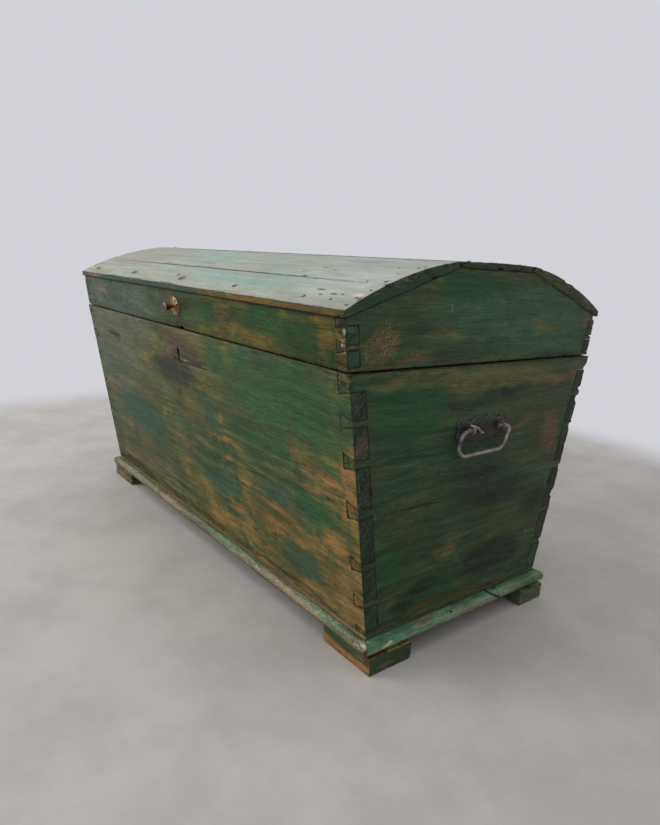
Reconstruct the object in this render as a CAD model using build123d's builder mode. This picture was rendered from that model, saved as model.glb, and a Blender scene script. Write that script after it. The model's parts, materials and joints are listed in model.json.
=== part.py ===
from build123d import *
import os
from math import atan, cos, radians, sin, tan

os.makedirs("parts", exist_ok=True)

# Box: four dovetailed walls that lean outwards, on a board floor
box_length_top = 1130.0
box_length_bottom = 1118.0
box_depth_top = 631.0
box_depth_bottom = 472.0
wall_bottom = 60.0
box_top = 508.4
side_wall = 29.0
end_wall = 28.0

# Floor, feet and bullnose moulding
foot_height = 32.0
floor_board_count = 3
foot_length = 126.0
front_foot_width = 97.0
back_foot_width = 76.0
foot_reach_end = 22.0
foot_reach_side = 6.5
foot_corner_radius = 9.0
moulding_height = 22.5
moulding_reach_end = 19.0
moulding_reach_side = 13.0
moulding_flat_share = 0.4
moulding_joint_y = 98.0

# Lid: dovetailed frame under two hewn slope boards and a flat top board
lid_bottom = 510.6
lid_length = 1122.0
lid_depth_bottom = 631.0
lid_lean = 0.143
lid_wall = 24.0
ridge_half_width = 100.0
ridge_underside = 665.0
ridge_top = 677.0
ridge_edge_top = 674.5
ridge_joint_lean = 6.0
slope_seat_y = 327.0
slope_seat_top = 587.6
eave_half_depth = 331.0
eave_top = 598.5
slope_bulge = 10.8
board_length = 1126.0

# Dovetail pins as centre height and width at the corner, and the half pins at the edges
box_pins = [(122.0, 9.0), (191.0, 9.0), (287.0, 15.0), (369.5, 12.0), (434.0, 9.5)]
box_half_pin_top = 26.0
box_half_pin_bottom = 6.0
lid_pins = [(546.0, 7.5)]
lid_half_pin_top = 10.5
lid_half_pin_bottom = 6.0
pin_flare = tan(radians(14.0))

# Keyhole slot in the front board
keyhole_x = -13.0
keyhole_height = 453.0
keyhole_width = 8.0
keyhole_length = 22.0

# Turned knob on the lid
knob_x = 5.0
knob_level = 555.0
knob_length = 26.0
knob_end_radius = 9.5
knob_neck_radius = 4.5
knob_tang_radius = 2.5
knob_tang_length = 20.0
knob_neck_length = 7.8
knob_swell = [(5.2, 13.0), (7.6, 18.7), (9.5, 22.4)]
knob_end_rounding = [(9.0, 25.2), (7.6, 26.0)]
rosette_radius = 19.0
rosette_thickness = 4.0
rosette_rim = 1.4
rosette_shoulder = (12.9, 2.5)

# Drop handles on the two ends
handle_level = 397.0
plate_thickness = 2.5
plate_drop = 1.0
plate_arcs = [
    ((0, 17.5), (15, 22.5), (30, 16.5)),
    ((30, 16.5), (38, 14.5), (46, 16.5)),
    ((46, 16.5), (60, 23.0), (69, 13)),
    ((69, 13), (66, 2), (68, -9)),
    ((68, -9), (63, -18.5), (50, -19)),
    ((50, -19), (40, -16.5), (30, -18.5)),
    ((30, -18.5), (15, -22.5), (0, -19.5)),
]
eye_spacing = 82.0
eye_wire_radius = 1.8
eye_bore_radius = 5.0
eye_leg_length = 24.0
bail_offset = 10.8
bail_radius = 4.2
bail_tip_inner = 33.0
bail_half_width = 70.0
bail_upper_radius = 24.0
bail_lower_radius = 20.0
bail_drop = 47.0

# Strap hinges on the back
hinge_x = 330.0
hinge_pin_radius = 3.5
pin_clearance = 0.05
knuckle_radius = 6.5
knuckle_stand_off = 6.95
strap_thickness = 3.0
strap_width = 40.0
strap_tip_width = 20.0
box_strap_length = 232.0
lid_strap_length = 66.0
strap_spear = 14.0
spear_shoulder = 9.8
strap_edge = 0.4
strap_relief = 9.5
knuckle_gap = 0.5
lid_knuckle_width = 19.0
pin_head_radius = 5.1
pin_head_length = 1.6

# Chest lock inside the front board, with its bolt and leaf spring
lock_x = 10.0
lock_width = 130.0
lock_height = 84.0
lock_depth = 31.0
lock_wall = 2.0
lock_drop = 7.0
lock_tab = 16.0
bolt_start_x = -50.0
bolt_length = 66.0
bolt_height = 9.0
bolt_thickness = 5.0
bolt_travel = 14.0
guide_thickness = 3.0
guide_height = 15.0
guide_foot = 6.0
guide_clearance = 0.35
guide_stations = (-34.0, 7.0, bolt_start_x + bolt_length + bolt_travel - 1)
lug_stations = (-22.0, -12.0)
lug_width = 5.0
lug_length = 9.0
mouth_width = 9.0
mouth_near = 3.0
mouth_far = 29.0
spring_half_span = 15.0
spring_x = -12.0
spring_thickness = 1.2
spring_gap = 0.4

# Keeper on the lid: a plate inside the rail and a tongue with an eye for the bolt
tongue_x = 22.0
tongue_thickness = 5.0
tongue_low = 476.0
tongue_inner_y = -263.0
tongue_width = 16.0
tongue_eye_width = 9.0
tongue_eye_height = 15.0
tongue_eye_level = 489.0
keeper_plate_width = 56.0
keeper_plate_height = 52.0
keeper_plate_thickness = 3.0
keeper_edge = 2.0
gusset_gap = 0.4
gusset_rise = 12.0
gusset_high = 545.0

# Nails: forged ones in the boards, pins in the moulding and the handle plates
nail_radius = 1.9
nail_head_radius = 4.0
nail_head_height = 1.2
nail_head_proud = 0.5
head_sink = 0.3
pin_nail_radius = 1.1
pin_nail_head_radius = 2.0
lid_nail_length = 42.0
eave_nail_y = 310.0
eave_nail_stations = [-497.0, -253.0, -3.0, 223.0, 440.0, 505.0]
slope_nail_rows = (299.0, 242.0, 166.0)
top_nail_rows = (-66.0, 4.0, 70.0)
floor_nail_length = 62.0
floor_nail_stations = (-400.0, -200.0, 0.0, 200.0, 400.0)
floor_end_nail_shares = (-0.75, -0.25, 0.25, 0.75)
foot_nail_length = 52.0
foot_nail_step = 30.0
foot_nail_insets = ((-1, 45.0), (1, 35.0))
moulding_nail_length = 34.0
moulding_side_nails = (-530.0, -320.0, -110.0, 110.0, 320.0, 530.0)
moulding_end_nails = (-205.0, -75.0, 82.0, 136.0, 212.0)
handle_nail_length = 22.0
handle_nail_radius = 1.43
handle_nail_head = 3.0
handle_nail_points = [(0, 0), (-60, 13.5), (60, 13.5)]
hinge_nail_length = 24.0
hinge_box_nail_points = [(-12, -24), (12, -24), (0, -80), (0, -140), (0, -195)]
hinge_lid_nail_points = [(-12, 22), (12, 22), (0, 50)]
lock_nail_length = 20.0
lock_nail_share = 0.36
keeper_nail_u = 20.2
keeper_nail_v = 15.6

# The knob reaches further forward than the lid reaches back, so the box is set back
lid_slope_y = lid_depth_bottom / 2 + lid_lean * (knob_level - lid_bottom)
lid_lean_angle = atan(lid_lean)
knob_reach = lid_slope_y + knob_length * cos(lid_lean_angle) + knob_end_radius * sin(lid_lean_angle)
mid_y = (knob_reach - eave_half_depth) / 2

side_view = Plane((0, mid_y, 0), x_dir=(0, 1, 0), z_dir=(1, 0, 0))
front_view = Plane((0, mid_y, 0), x_dir=(1, 0, 0), z_dir=(0, -1, 0))
plan_view = Plane((0, mid_y, 0))

box_lean = (box_depth_top - box_depth_bottom) / 2 / (box_top - wall_bottom)
end_lean = (box_length_top - box_length_bottom) / 2 / (box_top - wall_bottom)
box_lean_angle = atan(box_lean)
end_lean_angle = atan(end_lean)
slope_fall = (ridge_underside - slope_seat_top) / (slope_seat_y - ridge_half_width)
reach = 2000.0


def box_half_depth(z):
    return box_depth_bottom / 2 + box_lean * (z - wall_bottom)


def box_half_length(z):
    return box_length_bottom / 2 + end_lean * (z - wall_bottom)


def lid_half_depth(z):
    return lid_depth_bottom / 2 + lid_lean * (z - lid_bottom)


def slope_underside(y):
    return ridge_underside - slope_fall * (abs(y) - ridge_half_width)


# The rail meets the underside of the slope board where the two lines cross
rail_top = (
    ridge_underside - slope_fall * (lid_depth_bottom / 2 - lid_lean * lid_bottom - ridge_half_width)
) / (1 + slope_fall * lid_lean)
rail_inner_top = rail_top + slope_fall * lid_wall / (1 + slope_fall * lid_lean)


def finish(piece, name):
    piece.part.label = name
    export_step(piece.part, "parts/" + name + ".step")


# Box walls

# The whole space inside the outer faces of the walls
with BuildPart() as box_envelope:
    for z in (wall_bottom, box_top):
        with BuildSketch(plan_view.offset(z)):
            Rectangle(2 * box_half_length(z), 2 * box_half_depth(z))
    loft(ruled=True)


def side_slab(side):
    """One long wall before its dovetails are cut: side -1 is the front, 1 the back."""
    with BuildPart() as slab:
        with BuildSketch(side_view.offset(-reach / 2)):
            Polygon(
                (side * box_half_depth(wall_bottom), wall_bottom),
                (side * box_half_depth(box_top), box_top),
                (side * (box_half_depth(box_top) - side_wall), box_top),
                (side * (box_half_depth(wall_bottom) - side_wall), wall_bottom),
                align=None,
            )
        extrude(amount=reach)
        add(box_envelope.part, mode=Mode.INTERSECT)
    return slab.part


def end_slab(side):
    """One end wall over the full depth of the box: side -1 is the left, 1 the right."""
    with BuildPart() as slab:
        with BuildSketch(front_view.offset(-reach / 2)):
            Polygon(
                (side * box_half_length(wall_bottom), wall_bottom),
                (side * box_half_length(box_top), box_top),
                (side * (box_half_length(box_top) - end_wall), box_top),
                (side * (box_half_length(wall_bottom) - end_wall), wall_bottom),
                align=None,
            )
        extrude(amount=reach)
        add(box_envelope.part, mode=Mode.INTERSECT)
    return slab.part


def pin_outlines(side, inner_x, outer_x, low, high, pins, half_low, half_high):
    """Dovetail pins seen from the front: narrow at the corner, wide at the base line."""
    flare = pin_flare * (outer_x - inner_x)
    spans = [(low - 1, low - 1, low + half_low, low + half_low + flare)]
    spans += [(z - w / 2, z - w / 2 - flare, z + w / 2, z + w / 2 + flare) for z, w in pins]
    spans += [(high - half_high, high - half_high - flare, high + 1, high + 1)]
    for corner_low, base_low, corner_high, base_high in spans:
        Polygon(
            (side * inner_x, base_low),
            (side * outer_x, corner_low),
            (side * outer_x, corner_high),
            (side * inner_x, base_high),
            align=None,
        )


def box_pins_at(side):
    """All pins of one end wall as bars that run through the front and the back board."""
    with BuildPart() as bars:
        with BuildSketch(front_view.offset(-reach / 2)):
            pin_outlines(
                side,
                box_half_length(wall_bottom) - end_wall + end_lean * (box_top - wall_bottom) / 2,
                box_half_length(box_top) + 1,
                wall_bottom,
                box_top,
                box_pins,
                box_half_pin_bottom,
                box_half_pin_top,
            )
        extrude(amount=reach)
        add(end_slab(side), mode=Mode.INTERSECT)
    return bars.part


with BuildPart() as front_board:
    add(side_slab(-1))
    for side in (-1, 1):
        add(box_pins_at(side), mode=Mode.SUBTRACT)
    with BuildSketch(front_view):
        with Locations((keyhole_x, keyhole_height)):
            SlotOverall(keyhole_length, keyhole_width, rotation=90)
    extrude(amount=reach / 2, mode=Mode.SUBTRACT)

with BuildPart() as back_board:
    add(side_slab(1))
    for side in (-1, 1):
        add(box_pins_at(side), mode=Mode.SUBTRACT)


def end_board(side):
    with BuildPart() as board:
        add(end_slab(side))
        add(front_board.part, mode=Mode.SUBTRACT)
        add(back_board.part, mode=Mode.SUBTRACT)
    return board


left_end_board = end_board(-1)
right_end_board = end_board(1)

finish(front_board, "front_board")
finish(back_board, "back_board")
finish(left_end_board, "left_end_board")
finish(right_end_board, "right_end_board")

# Floor boards

floor_width = box_depth_bottom / floor_board_count
for index, place in enumerate(("front", "middle", "back")):
    with BuildPart() as floor_board:
        with BuildSketch(plan_view.offset(foot_height)):
            with Locations((0, (index - 1) * floor_width)):
                Rectangle(box_length_bottom, floor_width)
        extrude(amount=wall_bottom - foot_height)
    finish(floor_board, "floor_board_" + place)

# Feet

for end_name, side_x in (("left", -1), ("right", 1)):
    for side_name, side_y, width in (("front", -1, front_foot_width), ("back", 1, back_foot_width)):
        outer_x = box_length_bottom / 2 + foot_reach_end
        outer_y = box_depth_bottom / 2 + foot_reach_side
        with BuildPart() as foot:
            with BuildSketch(side_view.offset(side_x * outer_x)):
                with BuildLine():
                    Polyline(
                        (side_y * outer_y, foot_height),
                        (side_y * outer_y, 0),
                        (side_y * (outer_y - width + foot_corner_radius), 0),
                    )
                    ThreePointArc(
                        (side_y * (outer_y - width + foot_corner_radius), 0),
                        (
                            side_y * (outer_y - width + foot_corner_radius * (1 - sin(radians(45)))),
                            foot_corner_radius * (1 - sin(radians(45))),
                        ),
                        (side_y * (outer_y - width), foot_corner_radius),
                    )
                    Polyline(
                        (side_y * (outer_y - width), foot_corner_radius),
                        (side_y * (outer_y - width), foot_height),
                        (side_y * outer_y, foot_height),
                    )
                make_face()
            extrude(amount=-side_x * foot_length)
        finish(foot, "foot_" + side_name + "_" + end_name)

# Bullnose moulding: a flat step and a half round, mitred at the corners


def moulding_strip(view, inner, moulding_reach, plan_points):
    """Strip along a board edge: inner is the edge's distance, the nose points away from the middle."""
    middle = foot_height + moulding_height / 2
    shoulder = inner + moulding_reach * moulding_flat_share
    with BuildPart() as strip:
        with BuildSketch(view.offset(-reach / 2)):
            with BuildLine():
                Polyline(
                    (shoulder, foot_height + moulding_height),
                    (inner, foot_height + moulding_height),
                    (inner, foot_height),
                    (shoulder, foot_height),
                )
                EllipticalCenterArc(
                    (shoulder, middle),
                    moulding_reach * (1 - moulding_flat_share),
                    moulding_height / 2,
                    start_angle=-90,
                    arc_size=180,
                )
            make_face()
        extrude(amount=reach)
        with BuildSketch(plan_view.offset(foot_height)):
            Polygon(*plan_points, align=None)
        extrude(amount=moulding_height, mode=Mode.INTERSECT)
    return strip


half_length = box_length_bottom / 2
half_depth = box_depth_bottom / 2
corner_x = half_length + moulding_reach_end
corner_y = half_depth + moulding_reach_side
front_edge_view = Plane((0, mid_y, 0), x_dir=(0, -1, 0), z_dir=(-1, 0, 0))
left_edge_view = Plane((0, mid_y, 0), x_dir=(-1, 0, 0), z_dir=(0, 1, 0))

for name, view, side in (("front", front_edge_view, -1), ("back", side_view, 1)):
    strip = moulding_strip(
        view,
        half_depth,
        moulding_reach_side,
        [
            (-half_length, side * half_depth),
            (half_length, side * half_depth),
            (corner_x, side * corner_y),
            (-corner_x, side * corner_y),
        ],
    )
    finish(strip, "base_moulding_" + name)

left_strip = moulding_strip(
    left_edge_view,
    half_length,
    moulding_reach_end,
    [(-half_length, -half_depth), (-half_length, half_depth), (-corner_x, corner_y), (-corner_x, -corner_y)],
)
finish(left_strip, "base_moulding_left")

right_front_strip = moulding_strip(
    front_view,
    half_length,
    moulding_reach_end,
    [
        (half_length, -half_depth),
        (half_length, moulding_joint_y),
        (corner_x, moulding_joint_y),
        (corner_x, -corner_y),
    ],
)
finish(right_front_strip, "base_moulding_right_front")

right_back_strip = moulding_strip(
    front_view,
    half_length,
    moulding_reach_end,
    [
        (half_length, moulding_joint_y),
        (half_length, half_depth),
        (corner_x, corner_y),
        (corner_x, moulding_joint_y),
    ],
)
finish(right_back_strip, "base_moulding_right_back")

# Lid frame


def lid_outline():
    """Outer outline of the lid frame seen from the end."""
    Polygon(
        (-lid_half_depth(lid_bottom), lid_bottom),
        (lid_half_depth(lid_bottom), lid_bottom),
        (lid_half_depth(rail_top), rail_top),
        (ridge_half_width, ridge_underside),
        (-ridge_half_width, ridge_underside),
        (-lid_half_depth(rail_top), rail_top),
        align=None,
    )


def lid_rail_slab(side):
    """One long rail of the lid frame, bevelled on top to carry its slope board."""
    with BuildPart() as slab:
        with BuildSketch(side_view.offset(-lid_length / 2)):
            Polygon(
                (side * lid_half_depth(lid_bottom), lid_bottom),
                (side * lid_half_depth(rail_top), rail_top),
                (side * (lid_half_depth(rail_inner_top) - lid_wall), rail_inner_top),
                (side * (lid_half_depth(lid_bottom) - lid_wall), lid_bottom),
                align=None,
            )
        extrude(amount=lid_length)
    return slab.part


def lid_end_slab(side):
    with BuildPart() as slab:
        with BuildSketch(side_view.offset(side * lid_length / 2)):
            lid_outline()
        extrude(amount=-side * lid_wall)
    return slab.part


def lid_pins_at(side):
    with BuildPart() as bars:
        with BuildSketch(front_view.offset(-reach / 2)):
            pin_outlines(
                side,
                lid_length / 2 - lid_wall,
                lid_length / 2,
                lid_bottom,
                rail_top,
                lid_pins,
                lid_half_pin_bottom,
                lid_half_pin_top,
            )
            Polygon(
                (side * (lid_length / 2 - lid_wall), rail_top - 1),
                (side * lid_length / 2, rail_top - 1),
                (side * lid_length / 2, rail_inner_top + 1),
                (side * (lid_length / 2 - lid_wall), rail_inner_top + 1),
                align=None,
            )
        extrude(amount=reach)
        add(lid_end_slab(side), mode=Mode.INTERSECT)
    return bars.part


def lid_rail(side):
    with BuildPart() as rail:
        add(lid_rail_slab(side))
        for end in (-1, 1):
            add(lid_pins_at(end), mode=Mode.SUBTRACT)
    return rail


lid_front_rail = lid_rail(-1)
lid_back_rail = lid_rail(1)


def lid_end(side):
    with BuildPart() as board:
        add(lid_end_slab(side))
        add(lid_front_rail.part, mode=Mode.SUBTRACT)
        add(lid_back_rail.part, mode=Mode.SUBTRACT)
    return board


lid_left_end = lid_end(-1)
lid_right_end = lid_end(1)

finish(lid_front_rail, "lid_front_rail")
finish(lid_back_rail, "lid_back_rail")
finish(lid_left_end, "lid_left_end")
finish(lid_right_end, "lid_right_end")

# Lid boards: the slope boards are hewn hollow side down, thick in the middle and thin at both edges


def slope_board(side):
    ridge_y = ridge_half_width + ridge_joint_lean
    middle_y = (eave_half_depth + ridge_y) / 2
    fall = atan((ridge_edge_top - eave_top) / (eave_half_depth - ridge_y))
    middle_z = (eave_top + ridge_edge_top) / 2
    crown = (side * (middle_y + slope_bulge * sin(fall)), middle_z + slope_bulge * cos(fall))
    with BuildPart() as board:
        with BuildSketch(side_view.offset(-board_length / 2)):
            with BuildLine():
                Polyline(
                    (side * ridge_y, ridge_edge_top),
                    (side * ridge_half_width, ridge_underside),
                    (side * eave_half_depth, slope_underside(eave_half_depth)),
                    (side * eave_half_depth, eave_top),
                )
                ThreePointArc((side * eave_half_depth, eave_top), crown, (side * ridge_y, ridge_edge_top))
            make_face()
        extrude(amount=board_length)
    return board


finish(slope_board(-1), "lid_front_slope_board")
finish(slope_board(1), "lid_back_slope_board")

with BuildPart() as lid_top_board:
    ridge_y = ridge_half_width + ridge_joint_lean
    with BuildSketch(side_view.offset(-board_length / 2)):
        with BuildLine():
            Polyline(
                (-ridge_y, ridge_edge_top),
                (-ridge_half_width, ridge_underside),
                (ridge_half_width, ridge_underside),
                (ridge_y, ridge_edge_top),
            )
            ThreePointArc((ridge_y, ridge_edge_top), (0, ridge_top), (-ridge_y, ridge_edge_top))
        make_face()
    extrude(amount=board_length)
finish(lid_top_board, "lid_top_board")

# Knob and rosette, square to the leaning rail

knob_plane = Plane(
    (knob_x, mid_y - lid_slope_y, knob_level),
    x_dir=(1, 0, 0),
    z_dir=(0, -cos(lid_lean_angle), -sin(lid_lean_angle)),
)
knob_section = Plane(knob_plane.origin, x_dir=knob_plane.x_dir, z_dir=-knob_plane.y_dir)

with BuildPart() as knob_rosette:
    with BuildSketch(knob_section):
        with BuildLine():
            Polyline((knob_neck_radius, 0), (rosette_radius, 0), (rosette_radius, rosette_rim))
            ThreePointArc(
                (rosette_radius, rosette_rim),
                rosette_shoulder,
                (knob_neck_radius, rosette_thickness),
            )
            Line((knob_neck_radius, rosette_thickness), (knob_neck_radius, 0))
        make_face()
    revolve(axis=Axis(knob_plane.origin, knob_plane.z_dir))
finish(knob_rosette, "knob_rosette")

with BuildPart() as knob:
    with BuildSketch(knob_section):
        with BuildLine():
            Polyline(
                (0, knob_length),
                (0, -knob_tang_length),
                (knob_tang_radius, -knob_tang_length),
                (knob_tang_radius, 0),
                (knob_neck_radius, 0),
                (knob_neck_radius, knob_neck_length),
            )
            Spline((knob_neck_radius, knob_neck_length), *knob_swell)
            Polyline(knob_swell[-1], *knob_end_rounding, (0, knob_length))
        make_face()
    revolve(axis=Axis(knob_plane.origin, knob_plane.z_dir))
finish(knob, "knob")

# Drop handles: pressed plate, two eyes and a bail on each end


def end_face(side, z, off):
    """Plane on the outer face of an end wall at height z, with its normal outwards."""
    normal = (side * cos(end_lean_angle), 0, -sin(end_lean_angle))
    x = side * (box_half_length(z) + off / cos(end_lean_angle))
    return Plane((x, mid_y, z), x_dir=(0, side, 0), z_dir=normal)


def handle_plate(side):
    with BuildPart() as plate:
        with BuildSketch(end_face(side, handle_level - plate_drop, 0)):
            with BuildLine():
                for start, middle, end in plate_arcs:
                    ThreePointArc(start, middle, end)
                    ThreePointArc((-start[0], start[1]), (-middle[0], middle[1]), (-end[0], end[1]))
            make_face()
        extrude(amount=plate_thickness)
    return plate


def handle_axis_x(side):
    return side * (box_half_length(handle_level) + bail_offset)


def handle_eyes(side):
    """Two wire eyes: a ring round the bail's tip and a leg driven through the plate."""
    ring_radius = eye_bore_radius + eye_wire_radius
    with BuildPart() as eyes:
        for y in (-eye_spacing / 2, eye_spacing / 2):
            centre = (handle_axis_x(side), mid_y + y, handle_level)
            with BuildSketch(Plane(centre)):
                with Locations((ring_radius, 0)):
                    Circle(eye_wire_radius)
            revolve(axis=Axis(centre, (0, 1, 0)))
            with BuildSketch(Plane(centre, z_dir=(-side, 0, 0)).offset(ring_radius)):
                Circle(eye_wire_radius)
            extrude(amount=eye_leg_length)
    return eyes


def handle_bail(side):
    """A round bar bent to a flat C, with its tips turned inwards along the axis."""
    swing = Plane((handle_axis_x(side), mid_y, handle_level), x_dir=(0, side, 0), z_dir=(side, 0, 0))
    with BuildPart() as bail:
        with BuildLine(swing):
            FilletPolyline(
                (-bail_tip_inner, 0),
                (-bail_half_width, 0),
                (-bail_half_width, -bail_drop),
                (bail_half_width, -bail_drop),
                (bail_half_width, 0),
                (bail_tip_inner, 0),
                radius=(bail_upper_radius, bail_lower_radius, bail_lower_radius, bail_upper_radius),
            )
        tip = Plane(
            (handle_axis_x(side), mid_y - side * bail_tip_inner, handle_level), z_dir=(0, -side, 0)
        )
        with BuildSketch(tip):
            Circle(bail_radius)
        sweep()
    return bail


for end_name, side in (("left", -1), ("right", 1)):
    finish(handle_plate(side), end_name + "_handle_plate")
    finish(handle_eyes(side), end_name + "_handle_eyes")
    finish(handle_bail(side), end_name + "_handle_bail")

# Strap hinges on the back: knuckles on one pin, straps nailed to the box and to the lid

hinge_z = (box_top + lid_bottom) / 2
hinge_y = box_half_depth(hinge_z) + knuckle_stand_off / cos(box_lean_angle)


def box_back_face(x):
    """Plane on the outer back face of the box, v measured up the board from its top edge."""
    normal = (0, cos(box_lean_angle), -sin(box_lean_angle))
    return Plane((x, mid_y + box_half_depth(box_top), box_top), x_dir=(-1, 0, 0), z_dir=normal)


def lid_back_face(x):
    """Plane on the outer back face of the lid rail, v measured up from its lower edge."""
    normal = (0, cos(lid_lean_angle), -sin(lid_lean_angle))
    return Plane((x, mid_y + lid_half_depth(lid_bottom), lid_bottom), x_dir=(-1, 0, 0), z_dir=normal)


def knuckle(x_low, x_high):
    """One rolled eye of a hinge between two stations along its pin."""
    with BuildPart() as eye:
        with BuildSketch(side_view.offset(x_low)):
            with Locations((hinge_y, hinge_z)):
                Circle(knuckle_radius)
                Circle(hinge_pin_radius + pin_clearance, mode=Mode.SUBTRACT)
        extrude(amount=x_high - x_low)
    return eye.part


def box_strap(x):
    relief = lid_knuckle_width / 2 + knuckle_gap
    neck = -(box_strap_length - 2 * strap_spear)
    with BuildPart() as strap:
        with BuildSketch(box_back_face(x)):
            Polygon(
                (-strap_width / 2, -strap_edge),
                (-relief, -strap_edge),
                (-relief, -strap_relief),
                (relief, -strap_relief),
                (relief, -strap_edge),
                (strap_width / 2, -strap_edge),
                (strap_width / 2, -strap_width),
                (strap_tip_width / 2, neck),
                (strap_spear, neck - spear_shoulder),
                (0, -box_strap_length),
                (-strap_spear, neck - spear_shoulder),
                (-strap_tip_width / 2, neck),
                (-strap_width / 2, -strap_width),
                align=None,
            )
        extrude(amount=strap_thickness)
        add(knuckle(x - strap_width / 2, x - relief))
        add(knuckle(x + relief, x + strap_width / 2))
    return strap


def lid_strap(x):
    half = lid_knuckle_width / 2
    with BuildPart() as strap:
        with BuildSketch(lid_back_face(x)):
            Polygon(
                (-half, strap_edge),
                (half, strap_edge),
                (half, strap_relief),
                (strap_width / 2, strap_relief),
                (strap_width / 2, lid_strap_length - strap_spear),
                (strap_width / 2 - strap_spear, lid_strap_length),
                (strap_spear - strap_width / 2, lid_strap_length),
                (-strap_width / 2, lid_strap_length - strap_spear),
                (-strap_width / 2, strap_relief),
                (-half, strap_relief),
                align=None,
            )
        extrude(amount=strap_thickness)
        add(knuckle(x - half, x + half))
    return strap


def hinge_pin(x):
    """Pin with a peened head beyond the knuckles at each end."""
    inner = strap_width / 2 + knuckle_gap
    with BuildPart() as pin:
        with BuildSketch(side_view.offset(x - inner - pin_head_length)):
            with Locations((hinge_y, hinge_z)):
                Circle(hinge_pin_radius)
        extrude(amount=2 * (inner + pin_head_length))
        for station in (x - inner - pin_head_length, x + inner):
            with BuildSketch(side_view.offset(station)):
                with Locations((hinge_y, hinge_z)):
                    Circle(pin_head_radius)
            extrude(amount=pin_head_length)
    return pin


for end_name, x in (("left", -hinge_x), ("right", hinge_x)):
    finish(box_strap(x), end_name + "_hinge_box_strap")
    finish(lid_strap(x), end_name + "_hinge_lid_strap")
    finish(hinge_pin(x), end_name + "_hinge_pin")

# Chest lock: an open-backed case nailed to the inside of the front board, its bolt and spring

bolt_y = tongue_inner_y - tongue_width / 2
front_inner_face = Plane(
    (0, mid_y - box_half_depth(box_top) + side_wall, box_top),
    x_dir=(-1, 0, 0),
    z_dir=(0, cos(box_lean_angle), sin(box_lean_angle)),
)
bolt_dy = bolt_y + box_half_depth(box_top) - side_wall
bolt_dz = tongue_eye_level - box_top
bolt_v = -sin(box_lean_angle) * bolt_dy + cos(box_lean_angle) * bolt_dz
bolt_w = cos(box_lean_angle) * bolt_dy + sin(box_lean_angle) * bolt_dz
case_middle_v = -lock_drop - lock_height / 2
case_top_v = -lock_drop - lock_wall

with BuildPart() as lock_case:
    with BuildSketch(front_inner_face):
        with Locations((-lock_x, case_middle_v)):
            Rectangle(lock_width + 2 * lock_tab, lock_height)
    extrude(amount=lock_wall)
    with BuildSketch(front_inner_face):
        with Locations((-lock_x, case_middle_v)):
            Rectangle(lock_width, lock_height)
    extrude(amount=lock_depth)
    with BuildSketch(front_inner_face):
        with Locations((-lock_x, case_middle_v)):
            Rectangle(lock_width - 2 * lock_wall, lock_height - 2 * lock_wall)
    extrude(amount=lock_depth - lock_wall, mode=Mode.SUBTRACT)
    with BuildSketch(front_inner_face.offset(mouth_near)):
        with Locations((-tongue_x, -lock_drop)):
            Rectangle(mouth_width, 4 * lock_wall)
    extrude(amount=mouth_far - mouth_near, mode=Mode.SUBTRACT)
    for station in guide_stations:
        with BuildSketch(front_inner_face.offset(guide_foot)):
            with Locations((-station, bolt_v)):
                Rectangle(guide_thickness, guide_height)
        extrude(amount=lock_depth - lock_wall - guide_foot)
        with BuildSketch(front_inner_face.offset(bolt_w - bolt_thickness / 2 - guide_clearance)):
            with Locations((-station, bolt_v)):
                Rectangle(guide_thickness + 1, bolt_height + 2 * guide_clearance)
        extrude(amount=bolt_thickness + 2 * guide_clearance, mode=Mode.SUBTRACT)
finish(lock_case, "lock_case")

with BuildPart() as lock_bolt:
    with BuildSketch(front_inner_face.offset(bolt_w - bolt_thickness / 2)):
        with Locations((-(bolt_start_x + bolt_length / 2), bolt_v)):
            Rectangle(bolt_length, bolt_height)
        for station in lug_stations:
            with Locations((-station, bolt_v - bolt_height / 2 - lug_length / 2 + 1)):
                Rectangle(lug_width, lug_length + 2)
    extrude(amount=bolt_thickness)
finish(lock_bolt, "lock_bolt")

spring_low = bolt_v + bolt_height / 2 + spring_gap
with BuildPart() as lock_spring:
    with BuildSketch(front_inner_face.offset(bolt_w - bolt_thickness / 2)):
        with BuildLine():
            ThreePointArc(
                (-spring_x - spring_half_span, case_top_v),
                (-spring_x, spring_low),
                (-spring_x + spring_half_span, case_top_v),
            )
            Line(
                (-spring_x + spring_half_span, case_top_v),
                (-spring_x + spring_half_span - 2 * spring_thickness, case_top_v),
            )
            ThreePointArc(
                (-spring_x + spring_half_span - 2 * spring_thickness, case_top_v),
                (-spring_x, spring_low + spring_thickness),
                (-spring_x - spring_half_span + 2 * spring_thickness, case_top_v),
            )
            Line(
                (-spring_x - spring_half_span + 2 * spring_thickness, case_top_v),
                (-spring_x - spring_half_span, case_top_v),
            )
        make_face()
    extrude(amount=bolt_thickness)
finish(lock_spring, "lock_spring")

# Keeper: a plate inside the lid rail and a tongue with an eye that drops into the lock

rail_inner_y = lid_half_depth(lid_bottom) - lid_wall
lid_inner_face = Plane(
    (tongue_x, mid_y - rail_inner_y, lid_bottom),
    x_dir=(-1, 0, 0),
    z_dir=(0, cos(lid_lean_angle), sin(lid_lean_angle)),
)
tongue_outer_y = tongue_inner_y - tongue_width
gusset_low = lid_bottom + keeper_edge + gusset_gap


def keeper_middle_y(z):
    """Middle of the keeper plate's thickness at height z."""
    return -(lid_half_depth(z) - lid_wall - keeper_plate_thickness / 2)


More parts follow.
